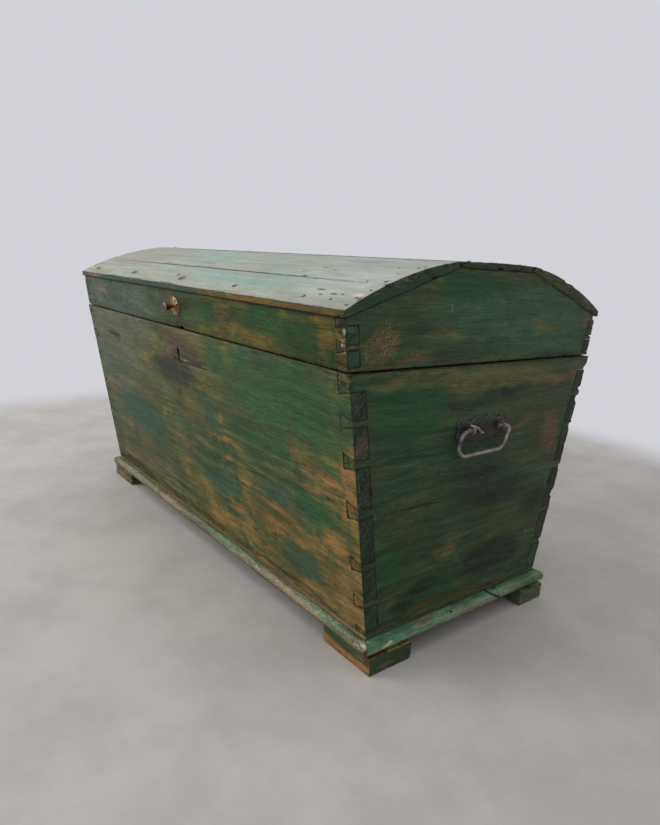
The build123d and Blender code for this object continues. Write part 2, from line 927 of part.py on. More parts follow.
with BuildPart() as lid_keeper:
    with BuildSketch(lid_inner_face):
        with Locations((0, keeper_edge + keeper_plate_height / 2)):
            Rectangle(keeper_plate_width, keeper_plate_height)
    extrude(amount=keeper_plate_thickness)
    with BuildSketch(side_view.offset(tongue_x - tongue_thickness / 2)):
        Polygon(
            (keeper_middle_y(gusset_low), gusset_low),
            (tongue_outer_y, gusset_low),
            (tongue_outer_y, tongue_low),
            (tongue_inner_y, tongue_low),
            (tongue_inner_y, gusset_low + gusset_rise),
            (keeper_middle_y(gusset_high), gusset_high),
            align=None,
        )
        with Locations((bolt_y, tongue_eye_level)):
            Rectangle(tongue_eye_width, tongue_eye_height, mode=Mode.SUBTRACT)
    extrude(amount=tongue_thickness)
finish(lid_keeper, "lid_keeper")

# Nails: a flat forged head and a round shank, many to one node where they are alike


def nails_at(plane, points, length, radius, head_radius, proud, drive=None):
    """Nails at points of a plane whose normal looks out of the wood, driven square to it or along drive."""
    with BuildPart() as nails:
        with BuildSketch(plane.offset(proud - nail_head_height)):
            with Locations(*points):
                Circle(head_radius)
        extrude(amount=nail_head_height)
        with BuildSketch(plane.offset(proud - nail_head_height / 2)):
            with Locations(*points):
                Circle(radius)
        extrude(amount=length, dir=drive or -plane.z_dir)
    return nails.part


def slope_point(y):
    """Height and outward direction of a slope board's outer face at a distance y from the middle."""
    ridge_y = ridge_half_width + ridge_joint_lean
    span_y = eave_half_depth - ridge_y
    span_z = ridge_edge_top - eave_top
    chord = (span_y**2 + span_z**2) ** 0.5
    radius = (chord**2 / 4 + slope_bulge**2) / (2 * slope_bulge)
    fall = atan(span_z / span_y)
    centre_y = (eave_half_depth + ridge_y) / 2 - (radius - slope_bulge) * sin(fall)
    centre_z = (eave_top + ridge_edge_top) / 2 - (radius - slope_bulge) * cos(fall)
    z = centre_z + (radius**2 - (y - centre_y) ** 2) ** 0.5
    return z, (y - centre_y) / radius, (z - centre_z) / radius


def forged_nails_at(plane, points, length, proud, drive=None):
    """Forged nails, all of one stock, at points of a plane."""
    return nails_at(plane, points, length, nail_radius, nail_head_radius, proud, drive)


def pins_at(plane, stations):
    """Small pins in a row along a moulding's nose, their heads punched below the surface."""
    points = [(station, 0) for station in stations]
    return nails_at(
        plane, points, moulding_nail_length, pin_nail_radius, pin_nail_head_radius, -head_sink
    )


def slope_face(side, y):
    """Plane on the outer face of a slope board at a distance y from the middle."""
    z, out_y, out_z = slope_point(y)
    return Plane((0, mid_y + side * y, z), x_dir=(1, 0, 0), z_dir=(0, side * out_y, out_z))


straight_down = Vector(0, 0, -1)
end_nail_x = lid_length / 2 - lid_wall / 2
end_nail_stations = [-end_nail_x, end_nail_x]

with BuildPart() as lid_nails:
    for side in (-1, 1):
        eave_points = [(x, 0) for x in eave_nail_stations]
        eave_face = slope_face(side, eave_nail_y)
        add(forged_nails_at(eave_face, eave_points, lid_nail_length, nail_head_proud, straight_down))
        for y in slope_nail_rows:
            row_points = [(x, 0) for x in end_nail_stations]
            add(forged_nails_at(slope_face(side, y), row_points, lid_nail_length, nail_head_proud))
    top_points = [(x, y) for x in end_nail_stations for y in top_nail_rows]
    top_face = plan_view.offset(ridge_top - head_sink)
    add(forged_nails_at(top_face, top_points, lid_nail_length, nail_head_proud))
finish(lid_nails, "lid_nails")

floor_underside = Plane((0, mid_y, foot_height), z_dir=(0, 0, -1))
floor_nail_x = box_length_bottom / 2 - end_wall / 2
floor_nail_y = box_depth_bottom / 2 - side_wall / 2
with BuildPart() as floor_nails:
    side_points = [(x, y) for x in floor_nail_stations for y in (-floor_nail_y, floor_nail_y)]
    end_points = [
        (x, share * floor_width)
        for x in (-floor_nail_x, floor_nail_x)
        for share in floor_end_nail_shares
    ]
    add(forged_nails_at(floor_underside, side_points + end_points, floor_nail_length, -head_sink))
finish(floor_nails, "floor_nails")

foot_underside = Plane((0, mid_y, 0), z_dir=(0, 0, -1))
foot_nail_x = box_length_bottom / 2 - foot_length / 2
with BuildPart() as foot_nails:
    foot_points = [
        (side_x * (foot_nail_x + step), side_y * (box_depth_bottom / 2 - inset))
        for side_x in (-1, 1)
        for side_y, inset in foot_nail_insets
        for step in (-foot_nail_step, foot_nail_step)
    ]
    add(forged_nails_at(foot_underside, foot_points, foot_nail_length, -head_sink))
finish(foot_nails, "foot_nails")

moulding_middle = foot_height + moulding_height / 2
with BuildPart() as moulding_nails:
    for side in (-1, 1):
        side_nose = Plane(
            (0, mid_y + side * corner_y, moulding_middle), x_dir=(1, 0, 0), z_dir=(0, side, 0)
        )
        add(pins_at(side_nose, moulding_side_nails))
        end_nose = Plane((side * corner_x, mid_y, moulding_middle), x_dir=(0, 1, 0), z_dir=(side, 0, 0))
        add(pins_at(end_nose, moulding_end_nails))
finish(moulding_nails, "moulding_nails")

for end_name, side in (("left", -1), ("right", 1)):
    with BuildPart() as handle_nails:
        add(
            nails_at(
                end_face(side, handle_level - plate_drop, plate_thickness),
                handle_nail_points,
                handle_nail_length,
                handle_nail_radius,
                handle_nail_head,
                nail_head_height,
            )
        )
    finish(handle_nails, end_name + "_handle_nails")

with BuildPart() as hinge_box_nails:
    for x in (-hinge_x, hinge_x):
        box_strap_face = box_back_face(x).offset(strap_thickness)
        add(forged_nails_at(box_strap_face, hinge_box_nail_points, hinge_nail_length, nail_head_height))
finish(hinge_box_nails, "hinge_box_nails")

with BuildPart() as hinge_lid_nails:
    for x in (-hinge_x, hinge_x):
        lid_strap_face = lid_back_face(x).offset(strap_thickness)
        add(forged_nails_at(lid_strap_face, hinge_lid_nail_points, hinge_nail_length, nail_head_height))
finish(hinge_lid_nails, "hinge_lid_nails")

with BuildPart() as lock_nails:
    lock_nail_u = lock_width / 2 + lock_tab / 2
    lock_nail_v = lock_height * lock_nail_share
    lock_points = [
        (-lock_x + side * lock_nail_u, case_middle_v + v)
        for side in (-1, 1)
        for v in (-lock_nail_v, lock_nail_v)
    ]
    lock_face = front_inner_face.offset(lock_wall)
    add(forged_nails_at(lock_face, lock_points, lock_nail_length, nail_head_height))
finish(lock_nails, "lock_nails")

with BuildPart() as keeper_nails:
    keeper_points = [
        (side * keeper_nail_u, keeper_edge + keeper_plate_height / 2 + v)
        for side in (-1, 1)
        for v in (-keeper_nail_v, keeper_nail_v)
    ]
    keeper_face = lid_inner_face.offset(keeper_plate_thickness)
    add(forged_nails_at(keeper_face, keeper_points, lock_nail_length, nail_head_height))
finish(keeper_nails, "keeper_nails")
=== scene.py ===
import json
import math

import bmesh
import bpy
import numpy as np
from mathutils import Matrix, Vector, noise


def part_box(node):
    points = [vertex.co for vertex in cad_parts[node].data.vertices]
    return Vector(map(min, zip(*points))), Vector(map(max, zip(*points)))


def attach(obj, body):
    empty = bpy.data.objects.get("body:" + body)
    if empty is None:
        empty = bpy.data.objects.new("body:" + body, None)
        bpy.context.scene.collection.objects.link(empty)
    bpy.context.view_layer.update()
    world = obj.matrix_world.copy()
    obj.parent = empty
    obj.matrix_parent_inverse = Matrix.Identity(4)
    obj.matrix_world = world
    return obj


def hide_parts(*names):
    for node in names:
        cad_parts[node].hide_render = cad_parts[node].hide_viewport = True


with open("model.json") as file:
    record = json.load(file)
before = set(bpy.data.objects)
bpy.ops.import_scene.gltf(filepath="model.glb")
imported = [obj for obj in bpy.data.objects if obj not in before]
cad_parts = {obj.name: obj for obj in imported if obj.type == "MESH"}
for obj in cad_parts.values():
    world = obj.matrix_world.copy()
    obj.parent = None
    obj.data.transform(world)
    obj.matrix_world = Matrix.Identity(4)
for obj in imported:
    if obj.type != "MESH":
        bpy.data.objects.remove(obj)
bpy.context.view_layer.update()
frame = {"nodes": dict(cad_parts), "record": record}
scene = bpy.context.scene

# Marks below are written in millimetres from the middle of the chest, which stands a little behind the origin
endLow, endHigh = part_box("right_end_board")
midY = (endLow.y + endHigh.y) / 2
mm = 0.001


# Camera at the photograph's place

cameraView = {
    "azimuth": 51.06, "elevation": 13.416, "roll": 3.542,  # degrees
    "focalPixels": 627.57, "photoHeight": 825,  # both in pixels of the photograph
    "place": (1.22851, -0.87392, 0.66075),
}


def makeCamera(view):
    a, e, r = (math.radians(view[key]) for key in ("azimuth", "elevation", "roll"))
    back = Vector((math.sin(a) * math.cos(e), -math.cos(a) * math.cos(e), math.sin(e)))
    level = Vector((math.cos(a), math.sin(a), 0))
    upright = back.cross(level)
    right = level * math.cos(r) + upright * math.sin(r)
    up = upright * math.cos(r) - level * math.sin(r)
    data = bpy.data.cameras.new("photoCamera")
    data.lens = data.sensor_width * view["focalPixels"] / view["photoHeight"]
    data.clip_start, data.clip_end = 0.05, 100
    eye = bpy.data.objects.new("photoCamera", data)
    turn = Matrix((right, up, back)).transposed()
    eye.matrix_world = Matrix.Translation(view["place"]) @ turn.to_4x4()
    scene.collection.objects.link(eye)
    scene.camera = eye


makeCamera(cameraView)
print("camera: made")


# Node helpers

def put(tree, kind, sockets=None, **settings):
    node = tree.nodes.new("ShaderNode" + kind)
    for key, value in settings.items():
        setattr(node, key, value)
    for key, value in (sockets or {}).items():
        if isinstance(value, bpy.types.NodeSocket):
            tree.links.new(value, node.inputs[key])
        else:
            node.inputs[key].default_value = value
    return node


def calc(tree, operation, a, b=0.5):
    return put(tree, "Math", {0: a, 1: b}, operation=operation).outputs[0]


def times(tree, a, b):
    return calc(tree, "MULTIPLY", a, b)


def addUp(tree, *parts):
    total = parts[0]
    for part in parts[1:]:
        total = calc(tree, "ADD", total, part)
    return total


def ramp(tree, value, low, high, start=0.0, end=1.0):
    sockets = {"Value": value, "From Min": low, "From Max": high, "To Min": start, "To Max": end}
    return put(tree, "MapRange", sockets, interpolation_type="SMOOTHSTEP").outputs[0]


def cloudy(tree, where, scale, detail=4.0, roughness=0.55, warp=0.0):
    sockets = {"Vector": where, "Scale": scale, "Detail": detail, "Roughness": roughness, "Distortion": warp}
    return put(tree, "TexNoise", sockets).outputs["Fac"]


def stretch(tree, where, scale, shift=(0, 0, 0)):
    return put(tree, "Mapping", {"Vector": where, "Location": shift, "Scale": scale}).outputs[0]


def mixColour(tree, amount, a, b, mode="MIX"):
    node = put(tree, "Mix", data_type="RGBA", blend_type=mode, clamp_factor=True)
    for index, value in ((0, amount), (6, a), (7, b)):
        if isinstance(value, bpy.types.NodeSocket):
            tree.links.new(value, node.inputs[index])
        else:
            node.inputs[index].default_value = value if index == 0 else (*value, 1)
    return node.outputs[2]


def ragged(tree, where, amount, scale):
    # The same place, pushed about by noise, so that marks get uneven edges
    sway = put(tree, "TexNoise", {"Vector": where, "Scale": scale, "Detail": 5.0}).outputs["Color"]
    sway = put(tree, "VectorMath", {0: sway, 1: (0.5, 0.5, 0.5)}, operation="SUBTRACT").outputs[0]
    sway = put(tree, "VectorMath", {0: sway, "Scale": amount}, operation="SCALE").outputs[0]
    return put(tree, "VectorMath", {0: where, 1: sway}, operation="ADD").outputs[0]


# A face is named by its two axes, and by where it lies along the third and how far its marks reach there
faces = {
    "front": {"axes": "xz", "at": -275, "reach": 160},
    "lidFront": {"axes": "xz", "at": -325, "reach": 120},
    "slope": {"axes": "xy", "at": 640, "reach": 200},
    "end": {"axes": "yz", "at": 565, "reach": 330},
    "base": {"axes": "xz", "at": -240, "reach": 60},
    "baseEnd": {"axes": "yz", "at": 575, "reach": 60},
}


def marks(tree, where, face, spots):
    # Soft ellipses: two centres, two radii, a strength and, if one leans, its angle in degrees
    first, second = ("xyz".index(axis) for axis in face["axes"])
    third = 3 - first - second
    total = None
    for u, v, reachU, reachV, strength, *lean in spots:
        centre, radii, turn = [0.0] * 3, [0.0] * 3, [0.0] * 3
        centre[first], centre[second], centre[third] = u * mm, v * mm, face["at"] * mm
        radii[first], radii[second], radii[third] = reachU * mm, reachV * mm, face["reach"] * mm
        centre[1] += midY
        turn[third] = math.radians(lean[0]) * (-1 if third == 1 else 1) if lean else 0.0
        sockets = {"Vector": where, "Location": centre, "Rotation": turn, "Scale": radii}
        place = put(tree, "Mapping", sockets, vector_type="TEXTURE").outputs[0]
        blob = put(tree, "TexGradient", {"Vector": place}, gradient_type="SPHERICAL").outputs["Fac"]
        blob = times(tree, blob, strength)
        total = blob if total is None else calc(tree, "MAXIMUM", total, blob)
    return total


def emptyTree(owner):
    owner.use_nodes = True
    owner.node_tree.nodes.clear()
    return owner.node_tree


def startMaterial(name):
    material = bpy.data.materials.new(name)
    tree = emptyTree(material)
    shader = put(tree, "BsdfPrincipled")
    put(tree, "OutputMaterial", {"Surface": shader.outputs[0]})
    return material, tree, shader


def roughen(tree, shader, height, distance):
    bump = put(tree, "Bump", {"Height": height, "Distance": distance})
    tree.links.new(bump.outputs[0], shader.inputs["Normal"])


# Paint worn down to the wood

def paintedWood(name, look):
    material, tree, shader = startMaterial(name)
    spot = put(tree, "TexCoord").outputs["Object"]
    edge = put(tree, "Attribute", attribute_name="edgeDistance").outputs["Fac"]
    lean = [math.radians(angle) for angle in look["lean"]]
    turned = put(tree, "Mapping", {"Vector": spot, "Rotation": lean}).outputs[0]
    # Noise is squeezed across the grain: most for fibres, less for brush marks, least for broad clouds
    broad, long, cross = ([alongGrain if axis == look["grain"] else acrossGrain for axis in "xyz"]
                          for alongGrain, acrossGrain in ((1.0, 1.7), (1.0, 14.0), (1.5, 46.0)))
    seed = look["seed"]
    drift = stretch(tree, turned, (1, 1, 1), (seed, seed * 0.7, -seed))
    lengthwise = stretch(tree, drift, long)
    fibres = stretch(tree, drift, cross)

    clouds = cloudy(tree, stretch(tree, drift, broad), look["cloudScale"], 5.0, 0.6, 0.4)
    patchy = cloudy(tree, stretch(tree, drift, broad, (3.1, 0, 1.7)), look["cloudScale"] * 2.4, 6.0, 0.62, 0.6)
    warm = cloudy(tree, stretch(tree, drift, broad, (-2.3, 5.1, 0.6)), look["cloudScale"] * 1.5, 6.0, 0.6, 0.5)
    brush = cloudy(tree, lengthwise, 5.5, 5.0, 0.6, 0.25)
    fibre = cloudy(tree, fibres, 9.0, 5.0, 0.62)
    hair = cloudy(tree, fibres, 21.0, 3.0, 0.7)
    grit = cloudy(tree, drift, 260.0, 3.0, 0.7)
    blotch = cloudy(tree, drift, 85.0, 4.0, 0.65)

    # Bare wood under the paint
    wood = mixColour(tree, ramp(tree, fibre, 0.34, 0.66), look["woodDark"], look["woodLight"])
    wood = mixColour(tree, ramp(tree, clouds, 0.35, 0.7), wood, look["woodWarm"])

    # Paint with its brush marks, a warmer glaze, tints and duller places
    paint = mixColour(tree, ramp(tree, brush, 0.3, 0.7), look["paintDark"], look["paintLight"])
    paint = mixColour(tree, times(tree, ramp(tree, clouds, 0.4, 0.68), 0.7), paint, look["paintCool"])
    glaze = ramp(tree, addUp(tree, warm, times(tree, blotch, 0.16)), 0.52, 0.68)
    paint = mixColour(tree, times(tree, glaze, look["glaze"]), paint, look["paintWarm"])
    where = ragged(tree, spot, look["raggedness"], 9.0)
    for tint, cover, spots in look["tints"]:
        amount = marks(tree, where, look["face"], spots)
        amount = times(tree, ramp(tree, amount, 0.02, 0.6), addUp(tree, ramp(tree, patchy, 0.3, 0.62), 0.35))
        paint = mixColour(tree, times(tree, amount, cover), paint, tint)

    # Wear: broad rubbing, listed patches, and the edges
    rubbing = {"broadWear": clouds, "patchWear": patchy, "brushWear": brush, "fineWear": blotch, "fibreWear": fibre}
    rub = addUp(tree, *(times(tree, calc(tree, "SUBTRACT", cloud, 0.5), look[key]) for key, cloud in rubbing.items()),
                look["wear"])
    if look["worn"]:
        rub = addUp(tree, rub, marks(tree, where, look["face"], look["worn"]))
    nearEdge = ramp(tree, edge, 0.0, look["edgeReach"] * mm, 1.0, 0.0)
    nearEdge = times(tree, nearEdge, addUp(tree, ramp(tree, patchy, 0.42, 0.6), ramp(tree, blotch, 0.4, 0.6)))
    rub = addUp(tree, rub, times(tree, nearEdge, look["edgeWear"]))
    bare = ramp(tree, rub, 0.5 - look["softness"], 0.5 + look["softness"])
    colour = mixColour(tree, times(tree, bare, look["bareness"]), paint, wood)

    # Places with a colour of their own, broken up by the grain and by fine blotches
    broken = addUp(tree, ramp(tree, patchy, 0.4, 0.58), ramp(tree, blotch, 0.38, 0.6), ramp(tree, fibre, 0.36, 0.64))
    broken = calc(tree, "MINIMUM", addUp(tree, times(tree, broken, 0.38), 0.22), 1.0)
    for veil, cover, spots in look["veils"]:
        amount = times(tree, ramp(tree, marks(tree, where, look["face"], spots), 0.0, 0.5), cover)
        colour = mixColour(tree, times(tree, amount, broken), colour, veil)
    if look["flecks"]:
        # Small bright dots where paint has come off the tips of the grain
        flecked = ramp(tree, marks(tree, where, look["face"], look["flecks"]), 0.0, 0.7)
        dots = times(tree, ramp(tree, grit, 0.52, 0.6), flecked)
        colour = mixColour(tree, dots, colour, look["fleckColour"])

    # Dirt and painted shade: darker haze, specks and the marks that knocks have left.
    # The listed dark spots are dirt, and on the mouldings a painted shadow along their undersides
    haze = times(tree, ramp(tree, patchy, 0.5, 0.72), look["grime"])
    if look["dirtAndShade"]:
        dirtAndShadeMarks = marks(tree, where, look["face"], look["dirtAndShade"])
        haze = calc(tree, "MAXIMUM", haze, times(tree, ramp(tree, dirtAndShadeMarks, 0.05, 0.7), addUp(tree, patchy, 0.4)))
    colour = mixColour(tree, haze, colour, look["dirtAndShadeColour"])
    specks = times(tree, ramp(tree, grit, 0.62, 0.72), look["specks"])
    colour = mixColour(tree, specks, colour, look["dirtAndShadeColour"])
    pores = times(tree, ramp(tree, fibre, 0.4, 0.24), look["pores"])
    colour = mixColour(tree, pores, colour, look["dirtAndShadeColour"])
    if look["pale"]:
        rubbed = marks(tree, where, look["face"], look["pale"])
        colour = mixColour(tree, ramp(tree, rubbed, 0.1, 0.6), colour, look["paleColour"])
    reliefs = ((fibre, 0.5), (brush, 0.35), (blotch, 0.2), (bare, -0.35))
    height = addUp(tree, *(times(tree, layer, share) for layer, share in reliefs))
    if look["scores"]:
        finely = ragged(tree, spot, 0.0016, 60.0)
        scored = ramp(tree, marks(tree, finely, look["face"], look["scores"]), 0.2, 0.6)
        colour = mixColour(tree, times(tree, scored, 0.85), colour, look["scoreColour"])
        height = addUp(tree, height, times(tree, scored, -1.5))
    dusty = ramp(tree, edge, 0.0, 0.0026, look["cornerDirt"], 0.0)
    dusty = times(tree, dusty, ramp(tree, blotch, 0.36, 0.5, 0.4, 1.0))
    colour = mixColour(tree, dusty, colour, look["seamColour"])
    # The grain shows through as fine light and dark lines, over darker and lighter areas
    weave = mixColour(tree, ramp(tree, hair, 0.34, 0.66), (0.55, 0.55, 0.55), (1.45, 1.45, 1.45))
    colour = mixColour(tree, look["threads"], colour, weave, "MULTIPLY")
    mottle = addUp(tree, times(tree, patchy, 0.6), times(tree, brush, 0.4))
    mottle = mixColour(tree, ramp(tree, mottle, 0.4, 0.6), (0.70, 0.70, 0.70), (1.26, 1.26, 1.26))
    colour = mixColour(tree, look["mottle"], colour, mottle, "MULTIPLY")
    tree.links.new(colour, shader.inputs["Base Color"])

    low, high = look["gloss"]
    shine = addUp(tree, ramp(tree, patchy, 0.3, 0.7, low, high), times(tree, bare, 0.12))
    tree.links.new(shine, shader.inputs["Roughness"])
    shader.inputs["Specular IOR Level"].default_value = look["specular"]
    roughen(tree, shader, height, look["relief"])
    return material


# Tints lie under the wear and veils over it: each is a colour, how much it covers, and its spots. Spots, here and in
# the lists of worn places, of dirt and painted shade, of pale places, scores and flecks, are soft ellipses as marks
# reads them, in millimetres on the look's face
paintLook = {
    "face": faces["front"], "grain": "x", "seed": 0.0, "cloudScale": 3.4, "raggedness": 0.09,
    "woodDark": (0.1, 0.072, 0.026), "woodLight": (0.3, 0.205, 0.074), "woodWarm": (0.27, 0.145, 0.04),
    "paintDark": (0.031, 0.062, 0.021), "paintLight": (0.08, 0.106, 0.036), "paintCool": (0.028, 0.08, 0.034),
    "paintWarm": (0.122, 0.102, 0.03), "glaze": 0.75, "threads": 0.9, "tints": [], "veils": [], "worn": [],
    "dirtAndShade": [], "pale": [], "scores": [], "flecks": [], "paleColour": (0.3, 0.3, 0.22),
    "scoreColour": (0.016, 0.014, 0.01), "fleckColour": (0.3, 0.235, 0.085), "dirtAndShadeColour": (0.03, 0.03, 0.02),
    "seamColour": (0.008, 0.009, 0.006), "broadWear": 0.8, "patchWear": 1.5, "brushWear": 0.7, "fineWear": 1.0,
    "fibreWear": 0.8, "wear": 0.2, "softness": 0.34, "bareness": 0.92, "edgeReach": 9, "edgeWear": 0.14,
    "cornerDirt": 0.8, "grime": 0.22, "specks": 0.5, "pores": 0.5, "mottle": 0.8, "gloss": (0.48, 0.66),
    "specular": 0.21, "relief": 0.0016, "lean": (0, 0, 0),
}

frontLook = dict(
    paintLook, tints=[((0.038, 0.088, 0.056), 0.75, [(-300, 240, 170, 80, 0.9), (430, 250, 60, 90, 0.6)])],
    veils=[
        # The first veil, a lighter grey-green over the front's upper left, is painted sheen
        ((0.088, 0.106, 0.076), 0.9, [(-470, 430, 290, 180, 1.1), (-300, 480, 220, 60, 0.9)]),
        ((0.074, 0.076, 0.042), 0.85, [
            (-330, 150, 330, 90, 0.8), (-60, 240, 160, 60, 0.5), (-250, 350, 180, 40, 0.5),
        ]),
        ((0.022, 0.08, 0.03), 0.95, [
            (370, 440, 290, 100, 1.2), (310, 350, 150, 60, 0.8), (150, 470, 80, 60, 0.7), (450, 250, 90, 40, 0.6),
        ]),
        ((0.028, 0.074, 0.048), 0.95, [
            (388, 128, 90, 50, 1.2), (-340, 262, 190, 70, 0.8), (90, 350, 60, 70, 0.5), (110, 200, 110, 46, 0.7),
            (330, 235, 70, 30, 0.7), (60, 290, 60, 40, 0.5),
        ]),
        ((0.074, 0.046, 0.026), 1.0, [(10, 466, 104, 36, 1.3), (-40, 495, 120, 20, 1.0)]),
        ((0.24, 0.128, 0.064), 1.0, [(-36, 450, 30, 20, 1.4), (30, 441, 46, 7, 1.0)]),
        ((0.024, 0.029, 0.02), 1.0, [
            (-52, 408, 150, 44, 1.2), (-10, 425, 60, 24, 1.0), (60, 452, 80, 10, 0.9), (-40, 360, 90, 40, 0.4),
        ]),
        ((0.15, 0.098, 0.062), 0.7, [(-480, 298, 60, 26, 1.0), (-430, 194, 64, 20, 0.9), (-300, 110, 60, 20, 0.6)]),
        ((0.05, 0.046, 0.016), 0.9, [(-420, 72, 260, 20, 1.0), (-100, 70, 300, 13, 0.9), (300, 68, 260, 9, 0.7)]),
    ],
    worn=[
        (553, 300, 36, 150, 0.55), (553, 130, 44, 80, 0.6), (512, 115, 85, 60, 0.55), (440, 95, 110, 26, 0.5),
        (335, 212, 75, 15, 0.95, -6), (320, 178, 105, 14, 0.75), (290, 158, 70, 12, 0.6), (198, 228, 34, 15, 0.75),
        (215, 64, 95, 16, 0.7), (135, 360, 24, 17, 0.75), (410, 342, 28, 17, 0.75), (430, 282, 40, 13, 0.6),
        (-80, 168, 46, 20, 0.72), (-60, 250, 90, 12, 0.5), (-420, 195, 60, 12, 0.4), (-15, 362, 44, 22, 0.5),
        (-300, 112, 60, 13, 0.6), (-175, 130, 56, 11, 0.6), (-275, 494, 46, 8, 0.6), (60, 100, 150, 30, 0.42),
        (160, 250, 60, 12, 0.5), (250, 120, 150, 36, 0.4), (190, 150, 120, 11, 0.5), (480, 200, 60, 30, 0.55),
        (-430, 100, 120, 16, 0.4), (160, 300, 120, 14, 0.5), (480, 330, 60, 14, 0.5), (505, 420, 30, 30, 0.5),
        (200, 500, 60, 7, 0.6), (380, 380, 90, 9, 0.35), (520, 470, 24, 30, 0.5), (-380, 330, 120, 12, 0.35),
        (90, 395, 70, 10, 0.45),
    ],
    dirtAndShade=[
        (-60, 415, 120, 38, 0.75), (-20, 452, 70, 30, 0.6), (-400, 447, 60, 9, 0.8), (-430, 78, 190, 30, 0.8),
        (300, 505, 320, 10, 0.5), (-520, 120, 60, 90, 0.5),
    ],
    pale=[(30, 443, 60, 6, 0.5)],
    scores=[
        (40, 437.6, 96, 2.8, 1.8), (-392, 447, 50, 4.0, 1.6, 3), (-430, 449, 22, 3.0, 1.0),
        (303, 142, 26, 1.8, 1.0, 82), (468, 190, 11, 8, 0.5), (-30, 230, 4.5, 4.0, 1.0), (487, 288, 5, 4.4, 1.0),
        (-210, 330, 120, 0.9, 0.4, 1), (120, 250, 160, 0.9, 0.4),
    ],
)

lidFrontLook = dict(
    paintLook, face=faces["lidFront"], seed=1.9, raggedness=0.035,
    veils=[
        ((0.074, 0.104, 0.074), 1.0, [(-430, 555, 330, 90, 1.2), (-190, 556, 180, 70, 1.0)]),
        ((0.034, 0.066, 0.026), 0.9, [(60, 560, 110, 60, 0.9), (-110, 555, 60, 60, 0.5)]),
        ((0.018, 0.06, 0.02), 1.0, [(160, 555, 60, 36, 1.0), (370, 562, 130, 50, 1.1), (450, 540, 80, 30, 0.8)]),
        ((0.128, 0.096, 0.018), 0.8, [
            (230, 532, 90, 20, 1.0), (205, 566, 40, 30, 1.0), (330, 526, 70, 16, 0.8), (260, 580, 60, 10, 0.7),
            (510, 548, 26, 34, 0.8), (120, 520, 40, 10, 0.7), (520, 584, 30, 6, 0.8), (420, 575, 60, 9, 0.5),
        ]),
        ((0.19, 0.13, 0.095), 0.8, [(-470, 590, 80, 12, 1.0), (-540, 590, 30, 10, 0.8), (-440, 556, 60, 14, 0.6)]),
        ((0.13, 0.07, 0.012), 1.0, [(400, 597, 260, 13, 1.7)]),
        ((0.034, 0.062, 0.036), 1.0, [(-160, 598, 330, 11, 1.6)]),
        ((0.17, 0.105, 0.034), 0.9, [(-10, 566, 34, 20, 1.1)]),
        # Darker round the knob and at the right corner: under and beside the knob this is painted shadow of the knob,
        # with some dirt
        ((0.04, 0.035, 0.022), 1.0, [
            (16, 530, 24, 26, 1.2), (551, 568, 15, 14, 1.2), (44, 568, 34, 18, 0.8), (0, 552, 60, 34, 0.5),
        ]),
    ],
    worn=[
        (220, 536, 130, 16, 0.4), (205, 578, 36, 12, 0.35), (505, 580, 44, 18, 0.4), (548, 540, 20, 60, 0.4),
        (-480, 588, 60, 12, 0.4), (10, 530, 20, 20, 0.3), (460, 530, 70, 12, 0.4), (-250, 530, 120, 14, 0.25),
    ],
    dirtAndShade=[(-500, 520, 60, 22, 0.5), (551, 570, 16, 14, 0.9)],
    pale=[(556, 562, 7, 9, 1.2, 20), (552, 549, 6, 6, 1.0), (557, 541, 4, 5, 0.9)],
    scores=[(0, 587.4, 1200, 1.9, 2.4), (-180, 566, 140, 0.9, 0.35), (240, 560, 150, 0.9, 0.35, 1)],
    paintDark=(0.015, 0.04, 0.009), paintLight=(0.042, 0.066, 0.012), paintCool=(0.015, 0.052, 0.012),
    paintWarm=(0.066, 0.06, 0.012), woodDark=(0.056, 0.044, 0.012), woodLight=(0.18, 0.124, 0.034),
    woodWarm=(0.18, 0.096, 0.02), flecks=[(330, 540, 260, 60, 0.28)], fleckColour=(0.19, 0.14, 0.04), specular=0.15,
)

